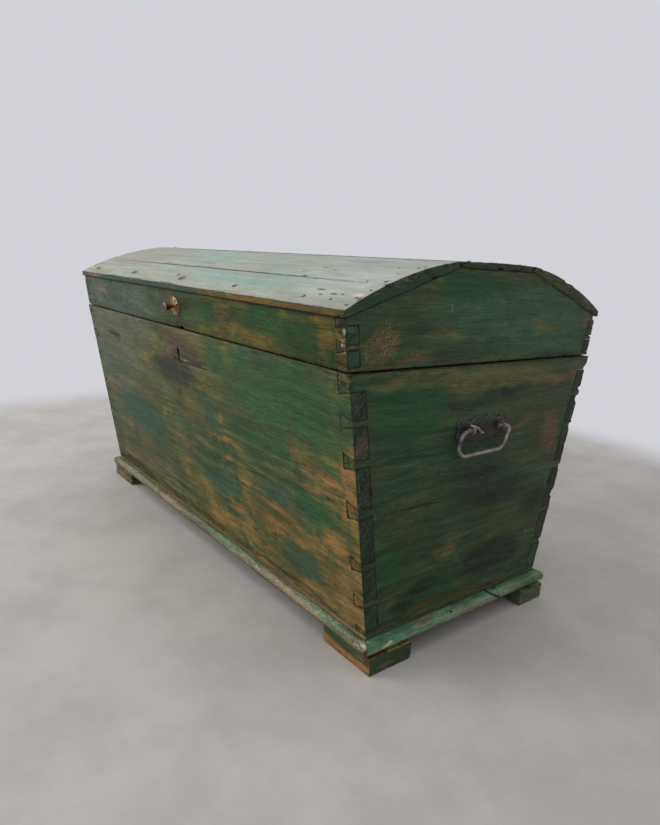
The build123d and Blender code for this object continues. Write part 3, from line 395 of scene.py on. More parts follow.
endLook = dict(
    paintLook, face=faces["end"], grain="y", seed=4.3, cloudScale=3.9, paintDark=(0.018, 0.046, 0.02),
    paintLight=(0.042, 0.082, 0.037), paintCool=(0.019, 0.062, 0.03), paintWarm=(0.046, 0.06, 0.021),
    woodDark=(0.08, 0.066, 0.03), woodLight=(0.16, 0.12, 0.05), woodWarm=(0.15, 0.095, 0.034),
    veils=[
        ((0.044, 0.104, 0.054), 0.9, [(60, 580, 290, 80, 1.0)]),
        ((0.016, 0.072, 0.026), 0.9, [
            (-190, 440, 110, 80, 1.0), (-70, 108, 70, 24, 1.0), (-190, 180, 60, 60, 0.7), (-60, 640, 120, 30, 0.7),
        ]),
        ((0.13, 0.076, 0.034), 0.9, [
            (208, 362, 42, 50, 1.0), (205, 474, 52, 16, 1.0), (270, 480, 40, 30, 0.7), (110, 392, 26, 12, 0.8),
            (292, 588, 18, 18, 0.9), (290, 400, 20, 120, 0.6),
        ]),
        ((0.105, 0.1, 0.032), 1.0, [
            (-40, 482, 190, 30, 1.2), (-60, 168, 40, 13, 1.0), (120, 480, 120, 18, 0.8), (-210, 490, 70, 14, 0.8),
            (150, 575, 60, 12, 0.9), (-120, 560, 60, 12, 0.6),
        ]),
        ((0.105, 0.07, 0.03), 0.8, [(-250, 545, 40, 30, 0.8), (-200, 518, 70, 10, 1.0)]),
        # Near-black patches: dark paint low on the end, and painted shadow of the handle below the bail and beside the
        # plate
        ((0.013, 0.017, 0.012), 0.9, [
            (75, 128, 120, 42, 1.1), (40, 260, 200, 60, 0.5), (-110, 110, 60, 20, 0.9), (20, 446, 110, 15, 1.0, 9),
            (190, 225, 60, 50, 0.6), (20, 310, 130, 50, 0.6), (0, 392, 96, 30, 1.0), (-60, 436, 60, 12, 0.8),
        ]),
        ((0.066, 0.046, 0.014), 0.9, [(-40, 69, 240, 9, 1.2)]),
    ],
    flecks=[
        (-247, 550, 40, 40, 0.8), (-190, 525, 60, 12, 0.4), (-275, 540, 16, 30, 0.5), (180, 160, 30, 12, 0.5),
        (-60, 175, 50, 20, 0.45), (60, 560, 220, 30, 0.3),
    ],
    fleckColour=(0.23, 0.165, 0.066), raggedness=0.06,
    worn=[
        (0, 515, 130, 7, 0.5), (95, 492, 50, 14, 0.3), (-250, 545, 44, 32, 0.4), (210, 360, 40, 50, 0.3),
    ],
    dirtAndShade=[(-170, 90, 60, 30, 0.6)], pale=[(-100, 600, 1.6, 22, 0.7), (20, 300, 30, 1.4, 0.4, 12)],
    paleColour=(0.16, 0.19, 0.13),
    scores=[
        (-150, 275, 46, 1.6, 1.4), (-105, 273, 30, 1.4, 1.0, -3), (60, 330, 60, 0.9, 0.35, 2),
        (40, 230, 90, 0.9, 0.3), (60, 560, 90, 0.9, 0.3),
    ],
    wear=0.13, broadWear=0.6, patchWear=0.9, brushWear=0.8, fineWear=1.2, grime=0.3, dirtAndShadeColour=(0.013, 0.018, 0.012),
    bareness=0.8, edgeWear=0.05, threads=0.75,
)

backLook = dict(paintLook, seed=7.7, paintDark=(0.034, 0.062, 0.031), paintLight=(0.07, 0.104, 0.054), wear=0.22)

# The top boards' paint and wood are pale: partly faded, worn paint, and partly painted sheen of the light from above
topWornAndLitLook = dict(
    paintLook, face=faces["slope"], seed=2.6, cloudScale=3.0, raggedness=0.03, woodDark=(0.27, 0.225, 0.15),
    woodLight=(0.39, 0.33, 0.23), woodWarm=(0.36, 0.275, 0.18), paintDark=(0.22, 0.262, 0.215),
    paintLight=(0.345, 0.385, 0.33), paintCool=(0.26, 0.33, 0.28), paintWarm=(0.3, 0.3, 0.24), threads=0.45,
    mottle=0.35, seamColour=(0.03, 0.034, 0.026),
    veils=[
        ((0.27, 0.25, 0.2), 0.9, [(-430, -200, 260, 110, 1.0), (-190, -300, 100, 14, 1.0)]),
        ((0.215, 0.33, 0.275), 0.85, [
            (230, -280, 300, 40, 1.1), (-60, -170, 200, 60, 0.7), (-150, -275, 80, 20, 0.8),
        ]),
        ((0.37, 0.405, 0.37), 0.6, [(440, -250, 170, 70, 0.9)]),
        ((0.36, 0.3, 0.22), 0.8, [
            (175, -252, 80, 12, 1.0), (-215, -268, 50, 14, 1.0, 20), (-180, -302, 110, 14, 1.0),
            (548, -290, 18, 16, 1.0),
        ]),
        ((0.25, 0.19, 0.12), 0.8, [(-460, -318, 110, 12, 1.2), (-560, -300, 20, 40, 0.8)]),
        ((0.11, 0.064, 0.014), 1.0, [(400, -336, 290, 9, 2.4)]),
        ((0.04, 0.07, 0.044), 1.0, [(-150, -336, 330, 9, 2.0)]),
    ],
    worn=[(-490, -285, 90, 26, 0.35), (548, -290, 22, 30, 0.4), (545, -180, 20, 70, 0.3)],
    dirtAndShade=[
        (-40, -111, 600, 9, 1.0), (420, -150, 120, 26, 0.35), (-492, -310, 26, 8, 1.2, -12),
        (-245, -307, 24, 8, 1.2, -12), (2, -307, 22, 8, 1.2, -12), (224, -309, 12, 6, 1.0),
    ],
    pale=[(540, -290, 20, 12, 0.6)], paleColour=(0.48, 0.48, 0.4),
    scores=[
        (-492, -310, 12, 5, 2.2, -12), (-245, -307, 11, 5, 2.2, -12), (2, -307, 11, 5, 2.2, -12),
        (224, -309, 8, 4, 1.8, -12), (0, -103, 1300, 4.5, 3.2), (0, -249, 900, 1.4, 0.75),
        (-260, -196, 200, 0.9, 0.6), (335, -228, 9, 1.8, 1.0), (352, -247, 8, 1.8, 1.0), (387, -251, 9, 1.8, 1.0),
        (366, -201, 7, 1.8, 0.9), (388, -211, 7, 1.8, 0.9), (16, -313, 6, 2.2, 1.0), (-39, -297, 6, 2.2, 1.0),
        (459, -288, 7, 2.2, 1.0), (469, -302, 6, 2.2, 1.0), (513, -294, 6, 2.2, 1.0), (180, -170, 160, 0.9, 0.4),
        (350, -203, 13, 2.4, 1.6, 5), (325, -230, 9, 2.2, 1.4, 8), (-35, -295, 9, 3, 1.6, -20),
        (505, -178, 6, 2, 1.2, -30), (545, -175, 7, 2.4, 1.4, -40), (538, -210, 8, 1.6, 1.0),
        (548, -245, 6, 2.4, 1.5, -30), (552, -275, 5, 2.2, 1.4, -30), (452, -288, 12, 2.4, 1.6),
        (495, -296, 10, 2.4, 1.6), (440, -313, 7, 2, 1.2, 10), (551, -318, 5, 2.4, 1.4),
        (170, -278, 6, 1.6, 0.9, -50),
    ],
    scoreColour=(0.026, 0.026, 0.019), broadWear=0.8, patchWear=0.9, brushWear=0.5, wear=0.18, grime=0.25,
    dirtAndShadeColour=(0.12, 0.125, 0.095), specks=0.35, gloss=(0.42, 0.56), specular=0.35, edgeReach=9, edgeWear=0.2,
    cornerDirt=0.75,
)

mouldingLook = dict(
    paintLook, face=faces["base"], seed=5.2, cloudScale=5.5, raggedness=0.014, paintDark=(0.06, 0.12, 0.062),
    paintLight=(0.13, 0.205, 0.108), paintCool=(0.075, 0.175, 0.105), paintWarm=(0.13, 0.13, 0.07),
    woodDark=(0.09, 0.066, 0.038), woodLight=(0.24, 0.18, 0.12), woodWarm=(0.2, 0.13, 0.074),
    veils=[
        ((0.215, 0.165, 0.112), 0.9, [(330, 44, 260, 10, 1.0), (-200, 43, 420, 8, 0.9), (520, 44, 60, 8, 0.8)]),
        # A thin brighter green band along the moulding's top: its paint, and partly painted highlight on the rounded
        # top
        ((0.09, 0.19, 0.11), 0.9, [(470, 53, 130, 5, 1.2), (100, 53, 260, 4, 0.8)]),
        ((0.034, 0.052, 0.024), 1.0, [(0, 60, 1300, 4.6, 2.2)]),
        ((0.12, 0.03, 0.012), 1.0, [(573, 40, 10, 6, 1.3)]),
        ((0.42, 0.38, 0.27), 1.0, [(566, 52, 9, 3, 1.2), (548, 48, 10, 2.5, 1.0)]),
    ],
    worn=[
        (-560, 48, 300, 40, 0.4), (-150, 46, 260, 30, 0.42), (200, 46, 240, 30, 0.4), (480, 48, 160, 40, 0.5),
    ],
    # The two dark bands at 33 mm, along the moulding's underside, are painted shadow
    dirtAndShade=[(-300, 33, 700, 6, 0.9), (300, 33, 700, 6, 0.9)], paleColour=(0.46, 0.42, 0.3),
    flecks=[(330, 48, 400, 20, 1.1), (-300, 48, 400, 20, 1.0)], fleckColour=(0.36, 0.3, 0.21), wear=0.2,
    patchWear=1.3, fineWear=1.5, specks=0.9, edgeReach=7, edgeWear=0.2, cornerDirt=0.5, relief=0.0026,
)

mouldingEndLook = dict(
    mouldingLook, face=faces["baseEnd"], grain="y", seed=6.4, worn=[(-235, 48, 20, 20, 0.4), (0, 44, 110, 6, 0.4)],
    veils=[
        # Brighter sea-green over the end moulding's upper part: its paint, and partly painted light on its top
        ((0.095, 0.235, 0.135), 0.9, [(-30, 50, 320, 20, 1.2)]),
        ((0.19, 0.14, 0.09), 0.9, [
            (20, 45, 100, 7, 1.1), (-110, 52, 40, 4, 0.8), (140, 50, 40, 5, 0.7), (-150, 36, 80, 5, 0.8),
        ]),
        ((0.06, 0.08, 0.04), 0.9, [(180, 46, 60, 14, 0.9), (0, 58, 300, 2.5, 0.8)]),
    ],
    flecks=[(20, 46, 200, 20, 0.9)], fleckColour=(0.26, 0.21, 0.14), specks=1.0,
    # The dark band at 33 mm, along the end moulding's underside, is painted shadow
    scores=[(91, 45, 3, 30, 2.4, 62), (-170, 40, 4, 2.4, 1.4), (-40, 52, 4, 2, 1.2)], dirtAndShade=[(0, 33, 400, 6, 0.9)],
    pale=[(-205, 44, 14, 3.5, 1.2, 12), (-196, 47, 6, 4, 1.0)], wear=0.1, patchWear=0.9, fineWear=1.0,
)

footLook = dict(
    mouldingLook, seed=8.8, worn=[(430, 8, 420, 13, 0.8), (-430, 12, 300, 24, 0.5)], dirtAndShade=[], pale=[], flecks=[],
    raggedness=0.02,
    veils=[
        ((0.3, 0.155, 0.042), 0.9, [(500, 8, 130, 11, 1.2)]),
        # A dark green band along the foot's top, under the moulding: painted shade
        ((0.036, 0.052, 0.02), 1.0, [(490, 27, 90, 7, 1.2)]),
        ((0.08, 0.026, 0.014), 1.0, [(572, 26, 12, 9, 1.2)]),
    ],
    paintDark=(0.032, 0.054, 0.026), paintLight=(0.075, 0.095, 0.05), paintCool=(0.045, 0.08, 0.05),
    woodDark=(0.12, 0.07, 0.026), woodLight=(0.3, 0.16, 0.048), woodWarm=(0.26, 0.13, 0.036), wear=0.16,
)
footEndLook = dict(
    footLook, face=faces["baseEnd"], grain="y", seed=9.7, worn=[(200, 5, 60, 6, 0.5)],
    veils=[
        ((0.03, 0.058, 0.022), 0.9, [(-185, 20, 70, 30, 1.2)]),
        ((0.16, 0.11, 0.06), 0.8, [(-205, 8, 26, 6, 1.0)]),
        ((0.05, 0.07, 0.042), 0.8, [(200, 22, 60, 20, 1.0)]),
        ((0.026, 0.044, 0.02), 1.0, [(0, 32, 400, 5, 2.0)]),
    ],
    wear=0.08, edgeWear=0.05,
)

# The ends of the dovetails have the paint of the side that they show on, over end grain
frontJointLook = dict(
    frontLook, grain="z", seed=12.4, cloudScale=9.0, fibreWear=1.5, patchWear=1.3, pores=0.8,
    woodDark=(0.05, 0.038, 0.018), woodLight=(0.15, 0.108, 0.044), relief=0.0024, specks=0.9,
)
endJointLook = dict(
    endLook, grain="z", lean=(38, 0, 0), seed=13.7, cloudScale=9.0, fibreWear=1.7, patchWear=1.6, wear=0.16,
    pores=1.0, woodDark=(0.016, 0.018, 0.011), woodLight=(0.11, 0.096, 0.062), woodWarm=(0.056, 0.046, 0.026),
    relief=0.0034, specks=1.0, threads=1.0, flecks=[(-280, 330, 60, 330, 0.45)], fleckColour=(0.15, 0.17, 0.12),
    veils=[
        ((0.011, 0.021, 0.013), 0.9, [(-272, 300, 60, 330, 1.3)]),
        ((0.084, 0.06, 0.04), 0.9, [(-285, 398, 18, 26, 1.0), (-275, 443, 16, 8, 1.0)]),
        ((0.024, 0.018, 0.012), 0.95, [(285, 330, 80, 330, 1.3)]),
        ((0.04, 0.086, 0.05), 0.8, [(-300, 556, 40, 40, 1.0)]),
    ],
)
slopeEndLook = dict(
    endJointLook, grain="y", lean=(0, 0, 0), seed=16.9, worn=[(200, 640, 110, 9, 0.6, -20)],
    flecks=[(-210, 655, 160, 18, 0.5, 20)], fleckColour=(0.2, 0.24, 0.19),
    veils=[
        ((0.022, 0.048, 0.026), 0.8, [(-210, 640, 160, 60, 1.2), (0, 670, 140, 16, 1.0)]),
        ((0.13, 0.078, 0.046), 1.0, [(240, 640, 70, 12, 1.1, -20), (205, 652, 40, 7, 0.9, -20)]),
    ],
)
lidJointLook = dict(
    lidFrontLook, grain="z", seed=15.1, cloudScale=9.0, fibreWear=1.5, patchWear=1.3, pores=1.0,
    woodDark=(0.036, 0.028, 0.016), woodLight=(0.11, 0.086, 0.05), woodWarm=(0.08, 0.056, 0.034), relief=0.0026,
    specks=1.0, wear=0.34, flecks=[],
)


# Bare wood: inside, underneath, and where boards end

def bareWood(name, look):
    material, tree, shader = startMaterial(name)
    spot = put(tree, "TexCoord").outputs["Object"]
    edge = put(tree, "Attribute", attribute_name="edgeDistance").outputs["Fac"]
    drift = stretch(tree, spot, (1, 1, 1), (look["seed"], -look["seed"], 0.4))
    bend = ragged(tree, drift, 0.05, 2.5)
    rings = put(tree, "TexWave", {"Vector": stretch(tree, bend, look["ringStretch"]), "Scale": 1.0, "Distortion": 5.0,
                                  "Detail": 3.0, "Detail Scale": 1.4}, bands_direction="DIAGONAL").outputs["Fac"]
    fibre = cloudy(tree, stretch(tree, drift, look["fibreStretch"]), 9.0, 6.0, 0.62)
    clouds = cloudy(tree, drift, 4.0, 5.0, 0.6, 0.3)
    blotch = cloudy(tree, drift, 70.0, 4.0, 0.65)
    saw = cloudy(tree, stretch(tree, drift, look["sawStretch"]), 30.0, 3.0, 0.6)
    colour = mixColour(tree, ramp(tree, fibre, 0.33, 0.67), look["dark"], look["light"])
    colour = mixColour(tree, times(tree, ramp(tree, rings, 0.55, 0.95), look["rings"]), colour, look["dark"])
    colour = mixColour(tree, times(tree, ramp(tree, clouds, 0.42, 0.66), look["stain"]), colour, look["stainColour"])
    colour = mixColour(tree, times(tree, ramp(tree, saw, 0.5, 0.72), look["saw"]), colour, look["sawColour"])
    daub = addUp(tree, clouds, times(tree, blotch, 0.35), times(tree, fibre, 0.2))
    colour = mixColour(tree, times(tree, ramp(tree, daub, 0.72, 0.82), look["paint"]), colour, look["paintColour"])
    colour = mixColour(tree, times(tree, ramp(tree, edge, 0.0, 0.003, 0.8, 0.0), blotch), colour, look["sawColour"])
    tree.links.new(colour, shader.inputs["Base Color"])
    tree.links.new(ramp(tree, clouds, 0.3, 0.7, 0.6, 0.8), shader.inputs["Roughness"])
    shader.inputs["Specular IOR Level"].default_value = 0.3
    height = addUp(tree, fibre, times(tree, saw, 0.6), times(tree, blotch, 0.4))
    roughen(tree, shader, height, look["relief"])
    return material


insideLook = {
    "seed": 3.0, "ringStretch": (1.2, 16, 16), "fibreStretch": (1.6, 40, 40), "sawStretch": (6, 0.4, 0.4),
    "dark": (0.15, 0.094, 0.048), "light": (0.33, 0.225, 0.125), "stainColour": (0.11, 0.07, 0.04),
    "sawColour": (0.09, 0.058, 0.034), "paintColour": (0.09, 0.12, 0.07), "rings": 0.55, "stain": 0.6, "saw": 0.3,
    "paint": 0.0, "relief": 0.0007,
}
insideCrossLook = dict(
    insideLook, seed=4.1, ringStretch=(16, 1.2, 16), fibreStretch=(40, 1.6, 40), sawStretch=(0.4, 6, 0.4),
)
rimLook = dict(
    insideLook, seed=5.5, dark=(0.028, 0.022, 0.014), light=(0.07, 0.052, 0.03), paint=0.8,
    paintColour=(0.05, 0.08, 0.044),
)
endGrainLook = dict(
    insideLook, seed=6.6, ringStretch=(30, 16, 30), fibreStretch=(30, 9, 42), sawStretch=(3, 2.2, 26),
    dark=(0.016, 0.022, 0.014), light=(0.062, 0.068, 0.04), stainColour=(0.1, 0.068, 0.03),
    sawColour=(0.01, 0.01, 0.008), paintColour=(0.05, 0.094, 0.052), rings=0.4, stain=0.42, saw=0.8, paint=0.75,
    relief=0.0022,
)


# Old metal

def oldMetal(name, look):
    material, tree, shader = startMaterial(name)
    spot = put(tree, "TexCoord").outputs["Object"]
    edge = put(tree, "Attribute", attribute_name="edgeDistance").outputs["Fac"]
    clouds = cloudy(tree, spot, look["cloudScale"], 5.0, 0.62, 0.3)
    pits = cloudy(tree, spot, look["pitScale"], 5.0, 0.68)
    grit = cloudy(tree, spot, look["pitScale"] * 5, 3.0, 0.7)
    colour = mixColour(tree, ramp(tree, clouds, 0.36, 0.64), look["dark"], look["light"])
    colour = mixColour(tree, times(tree, ramp(tree, pits, 0.5, 0.62), look["rust"]), colour, look["rustColour"])
    colour = mixColour(tree, times(tree, ramp(tree, grit, 0.56, 0.7), 0.5), colour, look["dark"])
    # A light colour near the edges: rubbed metal, and on the handle plate and bail partly painted highlight
    bright = times(tree, ramp(tree, edge, 0.0, look["edgeReach"] * mm, 1.0, 0.0), ramp(tree, pits, 0.38, 0.55))
    bright = times(tree, bright, look["rubbed"])
    colour = mixColour(tree, bright, colour, look["bright"])
    if look["paint"]:
        # Paint left in the hollows and along the top of the plate
        level = put(tree, "SeparateXYZ", {"Vector": spot}).outputs["Z"]
        lowest, full = (height * mm for height in look["paintBetween"])
        left = calc(tree, "ADD", ramp(tree, level, lowest, full), ramp(tree, clouds, 0.56, 0.66))
        left = times(tree, times(tree, left, ramp(tree, pits, 0.58, 0.44)), look["paint"])
        colour = mixColour(tree, left, colour, look["paintColour"])
    tree.links.new(colour, shader.inputs["Base Color"])
    metal = calc(tree, "SUBTRACT", look["metal"], times(tree, ramp(tree, pits, 0.48, 0.6), look["metal"] * 0.6))
    tree.links.new(metal, shader.inputs["Metallic"])
    low, high = look["gloss"]
    shine = calc(tree, "SUBTRACT", ramp(tree, pits, 0.35, 0.65, low, high), times(tree, bright, 0.12))
    tree.links.new(shine, shader.inputs["Roughness"])
    height = addUp(tree, times(tree, clouds, 0.6), times(tree, pits, 0.8), times(tree, grit, 0.15))
    roughen(tree, shader, height, look["relief"])
    return material


ironLook = {
    "cloudScale": 24.0, "pitScale": 160.0, "dark": (0.014, 0.011, 0.01), "light": (0.046, 0.034, 0.03),
    "rustColour": (0.075, 0.034, 0.022), "bright": (0.24, 0.2, 0.19), "rust": 0.6, "rubbed": 0.5, "edgeReach": 1.4,
    "metal": 0.55, "gloss": (0.4, 0.62), "relief": 0.0012, "paintColour": (0.03, 0.062, 0.034), "paint": 0.0,
}
# The plate's light edge colour is rubbed iron and partly painted highlight along its edges
plateLook = dict(
    ironLook, dark=(0.009, 0.007, 0.006), light=(0.03, 0.021, 0.018), rustColour=(0.06, 0.026, 0.018),
    bright=(0.42, 0.38, 0.36), paint=0.9, paintBetween=(398, 414), rust=0.7, rubbed=0.85, edgeReach=1.1, metal=0.4,
    gloss=(0.42, 0.66),
)
# The bail's light colours are rubbed iron and partly painted highlight
bailLook = dict(
    ironLook, dark=(0.06, 0.048, 0.045), light=(0.34, 0.3, 0.29), bright=(0.62, 0.57, 0.56),
    rustColour=(0.1, 0.062, 0.052), pitScale=110.0, metal=0.6, gloss=(0.3, 0.5), rust=0.5,
)
nailLook = dict(
    ironLook, dark=(0.012, 0.01, 0.008), light=(0.034, 0.026, 0.02), rustColour=(0.06, 0.03, 0.016), cloudScale=90.0,
    pitScale=420.0, rubbed=0.1, metal=0.3, gloss=(0.55, 0.75),
)
brassLook = dict(
    ironLook, cloudScale=90.0, pitScale=210.0, dark=(0.026, 0.014, 0.005), light=(0.25, 0.105, 0.026),
    rustColour=(0.024, 0.018, 0.01), bright=(0.76, 0.48, 0.2), rust=1.0, rubbed=0.9, metal=0.55, gloss=(0.4, 0.62),
    relief=0.0014,
)
# A dark, dull brass for the knob's flat end: painted shade
shadedBrassLook = dict(
    brassLook, dark=(0.012, 0.014, 0.01), light=(0.032, 0.034, 0.027), bright=(0.2, 0.19, 0.14), rust=0.3, metal=0.1,
    rubbed=0.2, gloss=(0.55, 0.75),
)

woodLooks = {
    "bareLong": insideLook, "bareCross": insideCrossLook, "wornRim": rimLook, "endGrainSide": endGrainLook,
}
paintLooks = {
    "paintFront": frontLook, "paintLidFront": lidFrontLook, "paintEnd": endLook, "paintBack": backLook,
    "paintTop": topWornAndLitLook, "slopeEnd": slopeEndLook, "paintMoulding": mouldingLook, "paintMouldingEnd": mouldingEndLook,
    "paintFoot": footLook, "paintFootEnd": footEndLook, "jointFront": frontJointLook, "jointLid": lidJointLook,
    "jointEnd": endJointLook,
}
metalLooks = {
    "oldIron": ironLook, "plateIron": plateLook, "bailIron": bailLook, "nailIron": nailLook, "oldBrass": brassLook,
    "dullBrass": shadedBrassLook,
}
finishes = {}
for build, looks in ((paintedWood, paintLooks), (bareWood, woodLooks), (oldMetal, metalLooks)):
    finishes.update((name, build(name, look)) for name, look in looks.items())
print("materials:", len(finishes))


# Shaping: a copy of a solid gets rounded edges, a finer surface, and the dents and chips of long use

def segmentDistance(points, starts, ends):
    best = np.full(len(points), 1.0, np.float32)
    points = points.astype(np.float32)
    for a, b in zip(starts.astype(np.float32), ends.astype(np.float32)):
        along = b - a
        offset = points - a
        t = np.clip(offset @ along / max(float(along @ along), 1e-12), 0, 1)
        offset -= t[:, None] * along
        np.minimum(best, np.sqrt(np.einsum("ij,ij->i", offset, offset)), out=best)
    return best


def cutInSquares(bm, step):
    # Planes across each direction that is longer than a few steps, so that every face is made of small squares
    for axis in range(3):
        low = min(vert.co[axis] for vert in bm.verts)
        high = max(vert.co[axis] for vert in bm.verts)
        count = int((high - low) / step)
        if count < 3:
            continue
        normal = Vector([1.0 if index == axis else 0.0 for index in range(3)])
        for turn in range(1, count):
            # Slightly off the round shares, so that a plane doesn't run along an edge
            place = normal * (low + (high - low) * (turn + 0.003) / count)
            parts = bm.verts[:] + bm.edges[:] + bm.faces[:]
            bmesh.ops.bisect_plane(bm, geom=parts, dist=2e-5, plane_co=place, plane_no=normal)


def splitLong(bm, limitAt, shortest, rounds):
    for turn in range(rounds):
        longer = [edge for edge in bm.edges if edge.calc_length() > shortest]
        if not longer:
            break
        middles = np.array([(edge.verts[0].co + edge.verts[1].co)[:] for edge in longer]) / 2
        limit = limitAt(middles)
        chosen = [edge for edge, most in zip(longer, limit) if edge.calc_length() > most]
        if not chosen:
            break
        bmesh.ops.subdivide_edges(bm, edges=chosen, cuts=1)
        bmesh.ops.triangulate(bm, faces=[face for face in bm.faces if len(face.verts) > 3], quad_method="SHORT_EDGE")


def removeFins(bm):
    # Two faces on the same three corners close nothing, so both come out
    pairs = {}
    for face in bm.faces:
        pairs.setdefault(frozenset(vert.index for vert in face.verts), []).append(face)
    doubled = [face for faces in pairs.values() if len(faces) > 1 for face in faces]
    bmesh.ops.delete(bm, geom=doubled, context="FACES_ONLY")
    bmesh.ops.delete(bm, geom=[edge for edge in bm.edges if not edge.link_faces], context="EDGES")
    bmesh.ops.delete(bm, geom=[vert for vert in bm.verts if not vert.link_edges], context="VERTS")


def wobble(points, scale, seed):
    return np.array([noise.noise((p[0] * scale + seed, p[1] * scale - seed, p[2] * scale + 2 * seed)) for p in points])


def shape(source, wear, dents=()):
    bm = bmesh.new()
    bm.from_mesh(source.data)
    bmesh.ops.remove_doubles(bm, verts=bm.verts, dist=1e-5)
    bmesh.ops.dissolve_limit(bm, angle_limit=math.radians(0.5), verts=bm.verts, edges=bm.edges)
    sharp = [edge for edge in bm.edges if edge.calc_face_angle(0) > math.radians(wear["sharpAngle"])]
    starts = np.array([edge.verts[0].co[:] for edge in sharp]).reshape(-1, 3)
    stops = np.array([edge.verts[1].co[:] for edge in sharp]).reshape(-1, 3)
    bmesh.ops.bevel(bm, geom=sharp, offset=wear["rounding"] * mm, offset_type="OFFSET", segments=2, profile=0.5,
                    affect="EDGES", clamp_overlap=True)
    if wear["step"]:
        cutInSquares(bm, wear["step"] * mm)
    bmesh.ops.triangulate(bm, faces=bm.faces)
    dentA, dentB = (np.array([dent[key] for dent in dents]).reshape(-1, 3) * mm + (0, midY, 0)
                    for key in ("from", "to"))
    reach = np.array([dent["reach"] for dent in dents]) * mm

    def nearEdgeLimit(points):
        gap = segmentDistance(points, starts, stops)
        return np.where(gap < wear["edgeBand"] * mm, wear["edgeStep"] * mm, 1.0)

    finest = wear["finestStep"] * mm

    def nearDentLimit(points):
        limit = np.full(len(points), 1.0)
        for a, b, size in zip(dentA, dentB, reach):
            gap = segmentDistance(points, a[None], b[None])
            limit = np.where(gap < size * 1.5, np.minimum(limit, max(size * 0.5, finest)), limit)
        return limit

    if wear["edgeStep"]:
        splitLong(bm, nearEdgeLimit, wear["edgeStep"] * mm, 2)
    if dents:
        splitLong(bm, nearDentLimit, finest, 6)
    bm.verts.index_update()
    removeFins(bm)
    bm.normal_update()
    points = np.array([vert.co[:] for vert in bm.verts])
    normals = np.array([vert.normal[:] for vert in bm.verts])
    gap = segmentDistance(points, starts, stops)

    # Everything moves inwards only, so that a board never leaves its solid
    waves = wobble(points, wear["waveScale"], wear["seed"]) * 0.5 + 0.5
    sink = wear["waves"] * mm * np.clip(waves, 0, 1)
    chew = np.clip(wobble(points, wear["chewScale"], wear["seed"] + 7) - wear["chewFrom"], 0, 1)
    nearEdge = np.clip(1 - gap / (wear["chewReach"] * mm), 0, 1) ** 2
    # Boards are chewed most near the box's ends
    calmFrom, calmUntil = wear["calmBetween"]
    nearEnd = np.clip((np.abs(points[:, 0]) / mm - calmFrom) / (calmUntil - calmFrom), 0, 1)
    calm = wear["chewCalm"] + (1 - wear["chewCalm"]) * nearEnd
    sink += wear["chew"] * mm * chew * nearEdge * calm
    moved = points - normals * sink[:, None]
    for dent, a, b, size in zip(dents, dentA, dentB, reach):
        away = segmentDistance(points, a[None], b[None])
        away = away / size + wobble(points, 1 / size * wear["dentWaves"], wear["seed"] + 3) * dent["uneven"]
        strength = np.clip(wear["dentEdge"] - away, 0, 1) ** wear["dentPower"]
        moved += strength[:, None] * np.array(dent["push"]) * mm
    for vert, place in zip(bm.verts, moved):
        vert.co = place
    mesh = bpy.data.meshes.new(source.name + "Worn")
    bm.to_mesh(mesh)
    bm.free()
    distance = mesh.attributes.new("edgeDistance", "FLOAT", "POINT")
    distance.data.foreach_set("value", gap.astype(np.float32))
    mesh.shade_smooth()
    mesh.set_sharp_from_angle(angle=math.radians(wear["smoothAngle"]))
    return mesh


boardWear = {
    "rounding": 1.3, "sharpAngle": 25, "step": 13, "edgeStep": 6.5, "edgeBand": 9, "smoothAngle": 38, "seed": 1.0,
    "waves": 0.55, "waveScale": 14, "chew": 3.5, "chewScale": 55, "chewFrom": 0.18, "chewReach": 7,
    "chewCalm": 0.6, "calmBetween": (500, 545), "finestStep": 1.3,
    "dentEdge": 1.25, "dentPower": 0.8, "dentWaves": 0.9,  # a dent's extent, fading and uneven rim
}
bodyOf = {node: body for body, nodes in frame["record"]["behaviour"]["bodies"].items() for node in nodes}


def dress(mesh, choose):
    # One finish for each face, chosen by where the face points
    names, picks = [], []
    for polygon in mesh.polygons:
        pick = choose(polygon.normal, polygon.center)
        if pick not in names:
            names.append(pick)
        picks.append(names.index(pick))
    for pick in names:
        mesh.materials.append(finishes[pick])
    mesh.polygons.foreach_set("material_index", picks)


def addPiece(name, mesh, *nodes):
    piece = bpy.data.objects.new(name, mesh)
    scene.collection.objects.link(piece)
    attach(piece, bodyOf[nodes[0]])
    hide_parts(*nodes)


# Boards: the outer side is painted, the ends show end grain and the rest is bare

